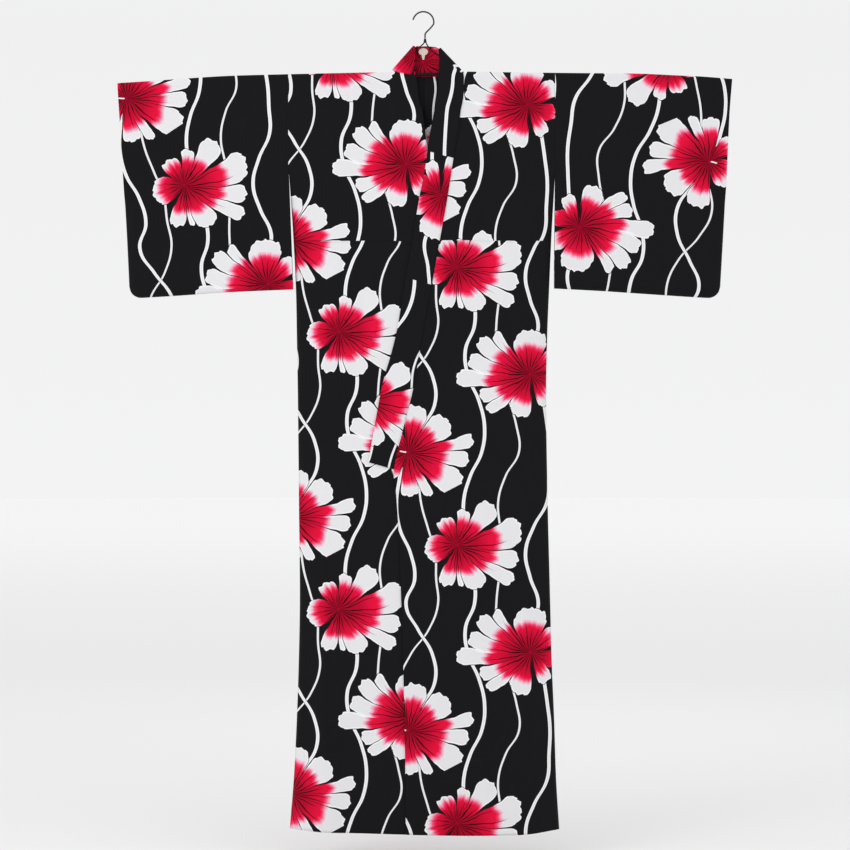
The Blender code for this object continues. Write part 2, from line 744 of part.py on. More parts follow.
def neck_tab():
    """A small tab on the inside of the collar behind the neck: a round head on a short stem."""
    face = back_depth(0.0, back_top(0.0)) - COLLAR_WALL / 2 - GAP - TAB_WALL / 2
    bm = bmesh.new()
    bmesh.ops.create_circle(bm, cap_ends=True, segments=20, radius=TAB_WIDTH / 2)
    bmesh.ops.scale(bm, vec=(1.0, TAB_HEIGHT / TAB_WIDTH, 1.0), verts=bm.verts)
    low = sorted(bm.verts, key=lambda vert: vert.co.y)[:5]
    for vert in low:
        vert.co.x = math.copysign(TAB_STEM / 2, vert.co.x) if abs(vert.co.x) > 1e-6 else 0.0
    for vert in low[:3]:
        vert.co.y = TAB_FOOT
    for vert in bm.verts:
        vert.co = (vert.co.x + TAB_X, face, vert.co.y + TAB_LEVEL)
    mesh = bpy.data.meshes.new("neck_tab")
    bm.to_mesh(mesh)
    bm.free()
    tab = add("neck_tab", mesh, finish("neck_tab", (0.78, 0.72, 0.58), 0.7))
    solid = tab.modifiers.new("wall", "SOLIDIFY")
    solid.thickness = TAB_WALL
    solid.offset = 0.0


neck_tab()

# ---------------------------------------------------------------- hanger

black_lacquer = finish("black_lacquer", (0.010, 0.010, 0.011), 0.35)
steel = finish("nickel_steel", (0.62, 0.62, 0.60), 0.28, 1.0)


def bar_height(x):
    """Middle of the bar, which bends with the shoulder fold that it carries."""
    return shoulder(x) - FOLD_RADIUS


bar_places = [mix(BAR_RIGHT_END, BAR_LEFT_END, i / (BAR_POINTS - 1)) for i in range(BAR_POINTS)]
wire("hanger_bar", [(x, 0.0, bar_height(x)) for x in bar_places], BAR_RADIUS, black_lacquer)

KNOB_TOP = STEM_FOOT - GAP


def hanger_wire(side, foot_x, bends):
    """A wire from under the knob down to the bar, which it meets upright."""
    foot_z = bar_height(foot_x) + BAR_RADIUS + GAP
    start = (STEM_X + math.copysign(WIRE_OUT, foot_x), 0.0, KNOB_TOP - KNOB_HEIGHT - WIRE_CLEAR)
    points = [start] + [(x, 0.0, z) for x, z in bends]
    points += [(foot_x, 0.0, foot_z + WIRE_UPRIGHT), (foot_x, 0.0, foot_z)]
    wire(f"hanger_wire_{side}", points, WIRE_RADIUS, black_lacquer)


hanger_wire("right", WIRE_FOOT_RIGHT, WIRE_BENDS_RIGHT)
hanger_wire("left", WIRE_FOOT_LEFT, WIRE_BENDS_LEFT)

hook_points = []
for step in range(HOOK_STEPS + 1):
    turn = math.radians(mix(HOOK_TIP_ANGLE, HOOK_HEEL_ANGLE, step / HOOK_STEPS))
    hook_z = HOOK_WIRE_RADIUS - HOOK_RADIUS + HOOK_RADIUS * math.sin(turn)
    hook_points.append((HOOK_RADIUS * math.cos(turn), 0.0, hook_z))
hook_points += [(x, 0.0, z) for x, z in HOOK_SHANK] + [(STEM_X, 0.0, STEM_FOOT)]
wire("hanger_hook", hook_points, HOOK_WIRE_RADIUS, steel)

knob = bmesh.new()
bmesh.ops.create_cone(
    knob,
    cap_ends=True,
    segments=20,
    radius1=KNOB_FOOT_RADIUS,
    radius2=KNOB_TOP_RADIUS,
    depth=KNOB_HEIGHT,
)
bmesh.ops.translate(knob, vec=(STEM_X, 0.0, KNOB_TOP - KNOB_HEIGHT / 2), verts=knob.verts)
knob_mesh = bpy.data.meshes.new("hanger_knob")
knob.to_mesh(knob_mesh)
knob.free()
add("hanger_knob", knob_mesh, black_lacquer)
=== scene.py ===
"""The looks of a cotton yukata robe, a light summer kimono, on its kimono hanger.

Metres, +Z up. The front faces -Y, and left and right are the wearer's, so the left sleeve
points to +X. The origin is where the hanger's hook bears on what holds it.
"""

import bisect
import math
from collections import namedtuple
from functools import partialmethod

import bmesh
import bpy
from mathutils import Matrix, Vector


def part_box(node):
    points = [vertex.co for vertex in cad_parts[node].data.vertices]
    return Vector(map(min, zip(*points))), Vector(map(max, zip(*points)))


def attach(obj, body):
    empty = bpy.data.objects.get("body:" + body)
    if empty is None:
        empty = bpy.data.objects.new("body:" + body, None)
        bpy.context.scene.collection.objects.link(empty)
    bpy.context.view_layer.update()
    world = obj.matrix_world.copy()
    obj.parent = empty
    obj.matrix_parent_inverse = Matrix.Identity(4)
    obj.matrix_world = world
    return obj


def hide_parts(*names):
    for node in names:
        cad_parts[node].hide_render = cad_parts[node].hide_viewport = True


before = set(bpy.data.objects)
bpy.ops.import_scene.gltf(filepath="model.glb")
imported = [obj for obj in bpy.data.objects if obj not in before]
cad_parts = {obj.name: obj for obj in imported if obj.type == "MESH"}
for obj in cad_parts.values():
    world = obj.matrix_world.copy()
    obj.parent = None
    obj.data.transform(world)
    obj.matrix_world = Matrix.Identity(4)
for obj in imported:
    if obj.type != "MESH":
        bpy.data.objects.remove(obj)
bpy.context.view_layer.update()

# ---------------------------------------------------------------- printed cotton
#
# Plain-weave cotton off a 38 cm bolt, dyed black round a printed repeat: large flowers, white
# with red throats, and wavy white stems that run down the bolt behind them. The print is drawn
# in centimetres on the cloth's own "bolt" map, across and down the bolt.

REPEAT_ACROSS, REPEAT_DOWN = 37.8, 60.9
Flower = namedtuple("Flower", "across down first twist petals")
# Petals go round clockwise from the first angle, in degrees from the right: where each ends, how
# long it is, how far its red reaches, and where the gap at its end starts and how fast it opens.
Petal = namedtuple("Petal", "end length red slit spread")


def rows_of(columns, *values):
    """A table with these named columns and a row for each set of values."""
    return [columns(*row) for row in values]


FLOWERS = (
    Flower(
        10.8, 20.4, -228, 0.010,
        rows_of(
            Petal,
            (-142, 7.2, 5.2, 2.9, 0.16),
            (-90, 6.6, 5.0, 3.5, 0.10),
            (-60, 8.0, 5.6, 5.6, 0.01),
            (-25, 11.8, 5.9, 4.2, 0.10),
            (12, 14.6, 9.0, 8.4, 0.03),
            (32, 13.8, 8.4, 9.0, 0.04),
            (50, 14.4, 7.4, 5.9, 0.06),
            (86, 10.6, 6.2, 8.6, 0.01),
            (94, 9.2, 5.6, 6.0, 0.05),
            (132, 9.2, 5.6, 2.0, 0.15),
        ),
    ),
    Flower(
        26.8, 43.9, -185, -0.012,
        rows_of(
            Petal,
            (-166, 13.9, 8.2, 8.4, 0.05),
            (-145, 13.7, 8.2, 7.6, 0.01),
            (-130, 12.2, 7.2, 4.2, 0.05),
            (-62, 10.0, 6.2, 4.6, 0.08),
            (-14, 8.2, 5.4, 2.5, 0.17),
            (38, 6.6, 6.2, 18.0, 0.0),
            (76, 7.6, 5.0, 1.8, 0.14),
            (123, 9.5, 6.2, 6.2, 0.06),
            (139, 12.2, 7.2, 10.2, 0.02),
            (157, 12.2, 7.6, 6.6, 0.04),
            (175, 16.2, 9.4, 10.2, 0.03),
        ),
    ),
    Flower(
        0.0, 0.0, -196, 0.002,
        rows_of(
            Petal,
            (-101, 7.0, 4.3, 2.6, 0.12),
            (-57, 10.6, 6.8, 4.9, 0.08),
            (-17, 11.4, 6.7, 5.6, 0.05),
            (-1, 14.8, 9.3, 8.8, 0.05),
            (18, 13.6, 8.2, 8.2, 0.05),
            (54, 13.6, 8.2, 4.6, 0.10),
            (72, 10.6, 6.2, 8.6, 0.01),
            (107, 9.8, 6.8, 2.6, 0.14),
            (164, 7.2, 4.8, 2.4, 0.17),
        ),
    ),
)
PETAL_COUNT = sum(len(flower.petals) for flower in FLOWERS)
LONGEST = 20.0  # petal sizes are stored as parts of this
# Each stem starts behind a flower: down the bolt there, half its width, and how far across it
# is at even steps down the repeat.
Stem = namedtuple("Stem", "down half across")
STEM_LEFT, STEM_SPAN = -6.0, 44.0
STEMS = (
    Stem(22.0, 0.37, (14.0, 14.6, 14.6, 12.6, 13.2, 15.6, 16.8, 16.2, 13.6, 12.2, 12.6, 14.0)),
    Stem(44.0, 0.22, (20.6, 22.2, 23.8, 24.4, 21.4, 19.8, 20.2, 20.8, 20.0, 19.4, 19.4, 20.6)),
    Stem(44.0, 0.37, (29.0, 29.8, 30.6, 31.2, 31.0, 30.6, 27.6, 25.8, 26.8, 28.6, 27.4, 29.0)),
    Stem(0.0, 0.22, (2.4, 2.4, 2.9, 4.4, 6.0, 6.2, 6.6, 4.6, 0.6, -1.6, -0.4, 2.4)),
    Stem(0.0, 0.36, (-1.0, -1.8, -2.5, -1.8, 0.6, 1.5, -0.4, 2.2, 5.4, 6.0, 3.0, -1.0)),
)
BLACK_DYE = (0.0060, 0.0060, 0.0068)
PETAL_WHITE, EDGE_WHITE = (0.76, 0.76, 0.78), (0.90, 0.90, 0.91)
THROAT = ((0.0, (0.34, 0.0, 0.018)), (0.45, (0.44, 0.001, 0.022)), (0.82, (0.76, 0.004, 0.044)))
THROAT_EDGE = ((0.0, (0.82, 0.006, 0.055)), (0.35, (0.86, 0.06, 0.15)), (0.70, (0.88, 0.42, 0.55)))
VEIN_RED, VEIN_GREY = (0.012, 0.0, 0.002), (0.13, 0.10, 0.12)
VEINS_PER_TURN = 19.0
DRIFT, DRIFT_SCALE = 1.3, 0.22  # how far a petal's edge may wander, both ways together
HAIR = 0.07  # half of the dark line between two petals
LOBE = 1.7  # from one scallop of a petal's tip to the next
SCALLOP, SCALLOP_MORE = 0.16, 0.42  # how far the scallops stand out, and the most added to that
CORNER = 1.1  # rounding of a petal's corners
FEATHER, FADE = 2.6, 1.7  # how unevenly the red reaches out, and the width of its fading edge
THREAD = 0.05  # from one thread of the weave to the next


class Mark:
    """A number in a material: arithmetic on it adds the nodes that work it out."""

    def __init__(self, tree, socket):
        self.tree, self.socket = tree, socket

    def into(self, socket):
        self.tree.links.new(self.socket, socket)

    def node(self, kind, sockets, *others, output=0, **settings):
        """What comes out of a new node, with this and the others fed to its sockets."""
        node = self.tree.nodes.new(kind)
        for name, value in settings.items():
            setattr(node, name, value)
        for value, socket in zip((self, *others), sockets):
            if isinstance(value, Mark):
                value.into(node.inputs[socket])
            else:
                node.inputs[socket].default_value = value
        return Mark(self.tree, node.outputs[output])

    def math(self, operation, *others):
        return self.node("ShaderNodeMath", range(3), *others, operation=operation)

    __add__ = __radd__ = partialmethod(math, "ADD")
    __sub__ = partialmethod(math, "SUBTRACT")
    __rsub__ = partialmethod(math, "MULTIPLY_ADD", -1.0)
    __mul__ = __rmul__ = partialmethod(math, "MULTIPLY")
    __truediv__ = partialmethod(math, "DIVIDE")
    size = partialmethod(math, "ABSOLUTE")

    def wrap(self, span):
        """Into the repeat, from minus half a span to half a span."""
        return self.math("WRAP", span / 2, -span / 2)

    def ease(self, low, high):
        """From 0 to 1 between these two, level at both ends."""
        return self.node(
            "ShaderNodeMapRange", range(3), low, high, interpolation_type="SMOOTHSTEP"
        )

    def pick(self, if_zero, if_one):
        """A mix of two vectors or colours by this number."""
        ends = [end if isinstance(end, Mark) else (*end, 1.0) for end in (if_zero, if_one)]
        return self.node("ShaderNodeMix", (0, 6, 7), *ends, output=2, data_type="RGBA")

    def curve(self, points, handle="AUTO"):
        """Looked up on a curve through these points, both ways from 0 to 1."""
        found = self.node("ShaderNodeFloatCurve", ["Value"])
        mapping = found.socket.node.mapping
        line = mapping.curves[0]
        while len(line.points) < len(points):
            line.points.new(0.5, 0.5)
        for point, place in zip(line.points, points):
            point.location = place
            point.handle_type = handle
        mapping.update()
        return found

    def ramp(self, stops, interpolation="LINEAR"):
        found = self.node("ShaderNodeValToRGB", range(1))
        band = found.socket.node.color_ramp
        band.interpolation = interpolation
        while len(band.elements) < len(stops):
            band.elements.new(0.5)
        for element, (place, colour) in zip(band.elements, stops):
            element.position = place
            element.color = (*colour, 1.0)
        return found

    def look_up(self, rows):
        """The row of three values that a whole number from 0 stands for."""
        stops = [(i / len(rows), row) for i, row in enumerate(rows)]
        return ((self + 0.5) / len(rows)).ramp(stops, "CONSTANT")

    def parts(self):
        found = self.node("ShaderNodeSeparateXYZ", range(1))
        return [Mark(self.tree, socket) for socket in found.socket.node.outputs]

    def joined(self, y, z):
        return self.node("ShaderNodeCombineXYZ", range(3), y, z)

    def noise(self, scale, detail=2.0, output="Fac"):
        """Cloudy noise about 0.5 at this vector."""
        sockets = ("Vector", "Scale", "Detail")
        return self.node("ShaderNodeTexNoise", sockets, scale, detail, output=output)

    def chance(self):
        """A fixed random number from 0 to 1 for each whole number."""
        return self.node("ShaderNodeTexWhiteNoise", ["W"], noise_dimensions="1D")


def nearest_flower(across, down):
    """Place from the middle of the nearest flower, and which of the three it is."""
    best = near = None
    for kind, flower in enumerate(FLOWERS):
        x = across - flower.across
        y = (down - flower.down).wrap(REPEAT_DOWN)
        reach = x * x + y * y
        place = x.joined(y, float(kind))
        if kind == 0:
            best, near = reach, place
        else:
            nearer = reach.math("LESS_THAN", best)
            best = reach.math("MINIMUM", best)
            near = nearer.pick(near, place)
    return near


def draw_flowers(across, down):
    """Colour of the flowers, and how deep inside a petal this is."""
    counts, turns = [0], [(0.0, 0.0)]
    sizes, first_gaps, last_gaps = [], [], []
    for kind, flower in enumerate(FLOWERS):
        start = flower.first
        before = flower.petals[-1]
        for petal in flower.petals:
            turn = (kind + (petal.end - flower.first) / 360) / len(FLOWERS)
            turns.append((turn, len(turns) / PETAL_COUNT))
            width = math.radians(petal.end - start) / math.pi
            sizes.append((petal.length / LONGEST, petal.red / LONGEST, width))
            first_gaps.append((before.slit / LONGEST, before.spread, 0.0))
            last_gaps.append((petal.slit / LONGEST, petal.spread, 0.0))
            start, before = petal.end, petal
        counts.append(len(turns) - 1)

    place = nearest_flower(across, down)
    x, y, kind = place.parts()
    drift = place.noise(DRIFT_SCALE, output="Color").parts()
    x = x + (drift[0] - 0.5) * DRIFT
    y = y + (drift[1] - 0.5) * DRIFT
    reach = (x * x + y * y).math("SQRT")
    settings = [(flower.first / -360, flower.twist + 0.5, 0.0) for flower in FLOWERS]
    first, twist, _ = kind.look_up(settings).parts()
    angle = y.math("ARCTAN2", x) + reach * (twist - 0.5)
    turn = angle / math.tau + first
    turn = turn.math("WRAP", 1.0, 0.0)
    petal = ((kind + turn) / len(FLOWERS)).curve(turns, "VECTOR") * PETAL_COUNT
    own = [(a / PETAL_COUNT, b / PETAL_COUNT, 0.0) for a, b in zip(counts, counts[1:])]
    low, high, _ = kind.look_up(own).parts()
    petal = petal.math("MAXIMUM", low * PETAL_COUNT + 0.01)
    petal = petal.math("MINIMUM", high * PETAL_COUNT - 0.01)
    index = petal.math("FLOOR")
    off = petal - index - 0.5
    length, red, width = index.look_up(sizes).parts()
    length, red, width = length * LONGEST, red * LONGEST, width * math.pi
    gaps = index.look_up(first_gaps), index.look_up(last_gaps)
    slit, spread, _ = off.math("GREATER_THAN", 0.0).pick(*gaps).parts()
    slit = slit * LONGEST

    # how far inside the petal's sides and its scalloped tip
    beside = (0.5 - off.size()) * width * reach
    hair = reach.ease(slit * 0.35, slit * 0.8) * HAIR
    gap = (reach - slit).math("MAXIMUM", 0.0) * spread
    whole = (1.0 - reach.ease(slit * 0.25, slit * 0.4)) * 2.0
    side = beside - hair - gap + whole
    luck = index.chance()
    lobes = (off * (width * length) / LOBE + luck * 3.0) * math.pi
    chance = lobes.joined(luck * 9.0, 0.0).noise(0.35).ease(0.35, 0.65)
    scallop = lobes.math("SINE").size() * (chance * SCALLOP_MORE + SCALLOP)
    end = off * off * 4.0
    tip = length - (end * 0.42 + 0.30) * end * width * length * 0.5 + scallop - 0.3 - reach
    inside = side.math("SMOOTH_MIN", tip, CORNER)

    # red throat, feathered along the petals, with dark veins
    ring = (x / (reach + 0.01)).joined(y / (reach + 0.01), kind * 3.0)
    feather = (ring.noise(7.0, 3.0) - 0.5) * FEATHER + (off.size() * -1.2)
    fade = (reach - red - feather + 0.4) / FADE
    throat = (reach / (red + 0.6)).ramp([*THROAT, (1.0, THROAT_EDGE[0][1])])
    edge = fade.ramp([*THROAT_EDGE, (1.0, PETAL_WHITE)])
    colour = fade.ease(0.0, 0.02).pick(throat, edge)
    rim = inside.ease(0.10, 0.34)
    colour = ((1.0 - rim) * fade.ease(0.8, 1.0)).pick(colour, EDGE_WHITE)
    count = (width * (VEINS_PER_TURN / math.tau)).math("FLOOR") + 1.0
    vein = (off + 0.5) * count + (ring.noise(3.0) - 0.5) * 0.6
    spoke = vein.math("FLOOR")
    luck = (spoke + index * 9.0).chance()
    left = 1.0 - reach / (length * (luck * 0.34 + 0.50))
    room = reach * (math.tau / VEINS_PER_TURN / 5.0)
    thick = room.math("MINIMUM", left.math("MAXIMUM", 0.0) * 0.21 + 0.03)
    near = (vein - spoke - 0.5).size() * width * reach / count
    vein = (1.0 - near.ease(thick * 0.4, thick)) * left.ease(0.0, 0.2) * reach.ease(0.15, 0.5)
    vein_colour = fade.ease(0.0, 1.0).pick(VEIN_RED, VEIN_GREY)
    colour = vein.pick(colour, vein_colour)
    # one flower has a short white pistil beside its middle
    past = ((x + 1.1).size() - 0.6).math("MAXIMUM", 0.0)
    beside = y - x * 0.15
    pistil = 1.0 - (past * past + beside * beside).math("SQRT").ease(0.11, 0.17)
    colour = (pistil * kind.math("GREATER_THAN", 1.5)).pick(colour, EDGE_WHITE)
    return colour, inside


def draw_stems(across, down):
    """How much of the cloth here is stem, and how near the middle of one.

    Each stem is drawn under the ones before it, with a thin dark line between.
    """
    shown = core = below = None
    for stem in reversed(STEMS):
        last = len(stem.across) - 1
        points = [(i / last, (x - STEM_LEFT) / STEM_SPAN) for i, x in enumerate(stem.across)]
        along = (down - stem.down - REPEAT_DOWN / 2).wrap(REPEAT_DOWN) / REPEAT_DOWN + 0.5
        middle = along.curve(points) * STEM_SPAN + STEM_LEFT
        off = (across - middle).wrap(REPEAT_ACROSS).size()
        white = 1.0 - off.ease(stem.half - 0.03, stem.half + 0.03)
        shade = 1.0 - off.ease(stem.half * 0.2, stem.half * 0.6)
        clear = off.ease(stem.half + 0.10, stem.half + 0.14)
        if shown is None:
            shown, core, below = white, shade, clear
        else:
            shown = shown.math("MAXIMUM", white * below)
            core = core.math("MAXIMUM", shade * below)
            below = below * clear
    return shown, core


def new_material(name, **settings):
    """A new material and its shader, with these settings on the shader's own sockets."""
    material = bpy.data.materials.new(name)
    material.use_nodes = True
    shader = material.node_tree.nodes["Principled BSDF"]
    for socket, value in settings.items():
        shader.inputs[socket.replace("_", " ")].default_value = value
    return material, shader


def object_place(tree, output="Object"):
    return Mark(tree, tree.nodes.new("ShaderNodeTexCoord").outputs[output])


def emboss(height, shader, strength, distance):
    """Raises the shader's surface by this height."""
    sockets = ("Height", "Strength", "Distance")
    height.node("ShaderNodeBump", sockets, strength, distance).into(shader.inputs["Normal"])


def print_cotton():
    material, shader = new_material(
        "printed_cotton",
        Roughness=0.85,
        Specular_IOR_Level=0.09,
        Sheen_Weight=0.02,
        Sheen_Roughness=0.5,
    )
    tree = material.node_tree
    bolt = tree.nodes.new("ShaderNodeUVMap")
    bolt.uv_map = "bolt"
    across, down, _ = Mark(tree, bolt.outputs[0]).parts()
    across, down = across * 100.0, down * 100.0

    flower, inside = draw_flowers(across, down)
    stem, core = draw_stems(across, down)
    slub = across.joined(down * 0.12, 0.0).noise(2.0) + across.joined(down * 9.0, 4.0).noise(0.3)
    ground = (slub * 0.5).pick(BLACK_DYE, tuple(1.5 * part for part in BLACK_DYE))
    stem_colour = core.pick(EDGE_WHITE, PETAL_WHITE)
    colour = (stem * (1.0 - inside.ease(-0.16, -0.12))).pick(ground, stem_colour)
    colour = inside.ease(-0.02, 0.03).pick(colour, flower)
    colour.into(shader.inputs["Base Color"])

    warp = across * (math.tau / THREAD / 2)
    weft = down * (math.tau / THREAD / 2)
    emboss(warp.math("SINE") * weft.math("SINE") + slub * 0.8, shader, 0.25, 0.00012)
    return material


cotton = print_cotton()

# ---------------------------------------------------------------- body panels
#
# Each half of the body is one length of the bolt: up the front from the hem, over the shoulder
# and down the back, sewn to itself down the side and to the other half down the middle of the
# back. A tuck is sewn across each front at the waist. The front edges, hem and sides are hemmed.

CLOTH = 0.0007
MERGE = 0.00008  # points of a front and a back this near are one
BAR_RADIUS, FOLD_RADIUS = 0.004, 0.0057  # the bar, and the cloth's middle where it turns over it
LAYER, COLLAR_LAYER, TUCKED = 0.0024, 0.0030, 0.0027  # upper front, collar, hidden collar
BODY_DEPTH, HEM_DEPTH, SLEEVE_DEPTH = 0.019, 0.027, 0.011  # from the bar's plane to the cloth
SIDE_ROUND, SLEEVE_ROUND, SLEEVE_CORNER = 0.045, 0.026, 0.026
SIDE_OPENING, CUFF_OPENING = 0.14, 0.23
SLEEVE_FALL, BODY_FALL = 0.16, 0.45  # drops over which the depths are reached
HEM_FALL_START, HEM_FALL = 0.5, 1.1
ARM_BLEND, EDGE_FADE, SLEEVE_FADE = 0.10, 0.06, 0.05
FOLD_DROP = 0.12
BODY_HEIGHT = 1.666
NECK_LEVEL, HEM_LEVEL = -0.14, -1.80
TUCK_DOWN, TUCK_STEP, TUCK_FADE = 0.2220, 0.0013, 0.010  # the waist tuck, in the panel's height
EDGE_UNDER = 0.009  # how far the left front runs in under the collar
UNDER_START, UNDER_EASE = 0.05, 0.02  # drops over which that begins and ends
UNDER_LEVEL = 0.003  # it ends this far above the collar's end
COLLAR_END = -1.0045

Point = namedtuple("Point", "x z")
Edge = namedtuple("Edge", "z x")
Sides = namedtuple("Sides", "z right left")
Neck = namedtuple("Neck", "x drop")
Fold = namedtuple("Fold", "x lean top bottom width height")

# The shoulder fold, the highest line of the cloth, from the right cuff to the left one.
SHOULDER = rows_of(
    Point,
    (-0.674, -0.155), (-0.575, -0.1485), (-0.487, -0.1423), (-0.421, -0.1386), (-0.298, -0.1353),
    (-0.183, -0.1327), (-0.071, -0.1305), (0.083, -0.1294), (0.164, -0.1307), (0.288, -0.1322),
    (0.393, -0.1331), (0.481, -0.1342), (0.547, -0.1373), (0.613, -0.1404), (0.679, -0.1457),
)

# The hem bows down a little in the middle.
HEM = rows_of(
    Point,
    (-0.3, -1.794), (-0.21, -1.8005), (-0.104, -1.803), (0.037, -1.8063), (0.208, -1.8055),
    (0.3, -1.7962),
)

# Where the body ends on each side: the sleeve seam above the arm, the side seam below it.
SIDE_SEAMS = rows_of(
    Sides,
    (-0.133, -0.297, 0.2897), (-0.34, -0.2963, 0.2897), (-0.362, -0.2946, 0.2889),
    (-0.479, -0.2867, 0.2823), (-0.61, -0.2801, 0.2765), (-0.72, -0.2779, 0.2721),
    (-0.852, -0.2757, 0.2699), (-1.072, -0.2735, 0.2732), (-1.292, -0.2713, 0.2787),
    (-1.424, -0.2735, 0.282), (-1.556, -0.2779, 0.2875), (-1.689, -0.2845, 0.2919),
    (-1.8, -0.2935, 0.2987),
)
RIGHT_ARM_END, LEFT_ARM_END = -0.340, -0.362  # where the sleeves stop being sewn on

# Inner edge of the left front, which carries the collar's seam down to the collar's end.
LEFT_FRONT_EDGE = rows_of(
    Edge,
    (-0.129, 0.088), (-0.16, 0.0895), (-0.182, 0.0895), (-0.215, 0.0829), (-0.254, 0.0785),
    (-0.303, 0.0697), (-0.417, 0.0521), (-0.52, 0.0334), (-0.613, 0.0169), (-0.71, -0.0007),
    (-0.833, -0.0227), (-0.903, -0.0403), (-1.006, -0.0645), (-1.05, -0.0601), (-1.138, -0.0541),
    (-1.204, -0.0513), (-1.402, -0.0447), (-1.6, -0.0403), (-1.8, -0.0381),
)

# Inner edge of the right front: open at the neck, then hidden under the left front.
RIGHT_FRONT_EDGE = rows_of(
    Edge,
    (-0.137, -0.0161), (-0.153, -0.0139), (-0.195, -0.0088), (-0.215, -0.0029), (-0.247, 0.0029),
    (-0.28, 0.0059), (-0.303, 0.0103), (-0.417, 0.0301), (-0.545, 0.0521), (-1.006, 0.0719),
    (-1.204, 0.0587), (-1.6, 0.0477), (-1.8, 0.0455),
)

# The neck hole: the shoulder fold stops at each side of it.
NECK_RIGHT, NECK_LEFT = -0.0725, 0.0880
NECK_FRONT_TOP, NECK_FRONT_LOW = -0.1318, -0.1378  # the right front's cut edge beside the neck
NECK_EDGE_RUN = 0.057  # width in which that edge falls from the top to the low level
NECK_FLARE = 0.011  # width in which the right front stands clear of the tucked collar
FLARE_FALL = 0.08  # drop over which it comes back

# How far the back pieces' top edge drops below the shoulder fold across the neck.
NECK_BACK = rows_of(
    Neck,
    (-0.0725, 0.0), (-0.0665, 0.0014), (-0.0615, 0.0042), (-0.056, 0.009), (-0.035, 0.0096),
    (0.05, 0.0096), (0.0715, 0.009), (0.077, 0.0042), (0.082, 0.0014), (0.088, 0.0),
)

# Soft folds, mostly upright: height is how far the cloth stands out there, or in if minus.
FRONT_FOLDS = rows_of(
    Fold,
    (-0.235, 0.0, -0.95, -2.05, 0.034, 0.0045),
    (-0.165, 0.01, -1.05, -2.1, 0.04, -0.0045),
    (-0.095, 0.01, -0.7, -1.6, 0.045, 0.0025),
    (0.105, -0.01, -0.75, -2.1, 0.045, 0.003),
    (0.175, -0.01, -0.6, -2.05, 0.038, -0.004),
    (0.238, 0.01, -0.9, -2.1, 0.034, 0.004),
    (0.16, -0.02, -0.14, -0.55, 0.03, -0.0025),
    (-0.15, 0.02, -0.14, -0.6, 0.032, -0.0025),
    (-0.262, 0.06, -1.15, -1.75, 0.012, 0.0016),
    (-0.225, -0.03, -1.2, -1.62, 0.01, -0.0015),
    (-0.205, 0.02, -0.42, -0.78, 0.014, 0.0013),
    (-0.12, -0.035, -0.52, -0.86, 0.012, -0.0011),
    (-0.06, 0.012, -1.22, -1.8, 0.014, 0.0012),
    (0.02, -0.02, -1.3, -1.95, 0.013, -0.0012),
    (0.062, 0.03, -0.86, -1.22, 0.012, 0.001),
    (0.128, 0.016, -1.3, -1.9, 0.012, 0.0013),
    (0.205, -0.045, -0.52, -0.9, 0.013, -0.0012),
    (0.245, -0.018, -0.4, -0.72, 0.01, 0.0012),
    (0.152, 0.012, -0.28, -0.5, 0.011, 0.001),
    (-0.215, 0.04, -0.17, -0.4, 0.013, 0.0012),
)
BACK_FOLDS = rows_of(
    Fold,
    (-0.225, 0.01, -0.8, -2.1, 0.036, 0.004),
    (-0.15, 0.0, -0.6, -2.05, 0.042, -0.004),
    (-0.06, 0.01, -0.9, -2.1, 0.045, 0.003),
    (0.05, -0.01, -0.7, -2.05, 0.045, -0.003),
    (0.13, 0.01, -1.0, -2.1, 0.038, 0.004),
    (0.215, -0.01, -0.75, -2.1, 0.038, -0.0035),
    (-0.19, -0.04, -0.2, -0.66, 0.016, 0.0015),
    (0.17, 0.045, -0.19, -0.6, 0.015, 0.0015),
    (-0.105, 0.02, -1.05, -1.6, 0.013, -0.0013),
    (0.088, -0.022, -1.2, -1.9, 0.014, 0.0014),
    (0.24, -0.05, -0.55, -1.0, 0.012, 0.0013),
    (-0.25, 0.03, -1.25, -1.85, 0.012, -0.0014),
)


def smooth(t):
    """Rises from 0 at t = 0 to 1 at t = 1, level at both ends."""
    t = min(max(t, 0.0), 1.0)
    return t * t * (3.0 - 2.0 * t)


def mix(a, b, t):
    return a + (b - a) * t


def read(table, key, column):
    """One named column at this value of the table's first column, on a curve through its rows."""
    if table[0][0] > table[-1][0]:
        table = table[::-1]
    keys = [row[0] for row in table]
    values = [getattr(row, column) for row in table]
    last = len(keys) - 1
    key = min(max(key, keys[0]), keys[last])
    i = min(max(bisect.bisect_right(keys, key) - 1, 0), last - 1)

    def slope(j):
        a, b = max(j - 1, 0), min(j + 1, last)
        return (values[b] - values[a]) / (keys[b] - keys[a])

    step = keys[i + 1] - keys[i]
    t = (key - keys[i]) / step
    rise = values[i + 1] - values[i]
    ease = t * t * (3.0 - 2.0 * t)
    lead = t * (1.0 - t) * (1.0 - t) * step * slope(i)
    trail = t * t * (t - 1.0) * step * slope(i + 1)
    return values[i] + rise * ease + lead + trail


def shoulder(x):
    """Height of the middle of the cloth on the shoulder fold."""
    return read(SHOULDER, x, "z") - 0.00075


def folded(x, z, folds):
    """How far the soft folds move the cloth out at this place."""
    total = 0.0
    for fold in folds:
        along = (fold.top - z) / (fold.top - fold.bottom)
        if 0.0 < along < 1.0:
            off = (x - fold.x - fold.lean * along) / fold.width
            if abs(off) < 3.0:
                ends = smooth(along * 3.0) * smooth((1.0 - along) * 3.0)
                total += fold.height * math.exp(-off * off) * ends
    return total


def rounded(distance, width):
    """A quarter turn, over the bar or back to a closed seam: 0 there, 1 from this width inside."""
    left = 1.0 - min(max(distance / width, 0.0), 1.0)
    return math.sqrt(1.0 - left * left)


def sleeve_fall(drop):
    return mix(FOLD_RADIUS, SLEEVE_DEPTH, smooth(drop / SLEEVE_FALL))


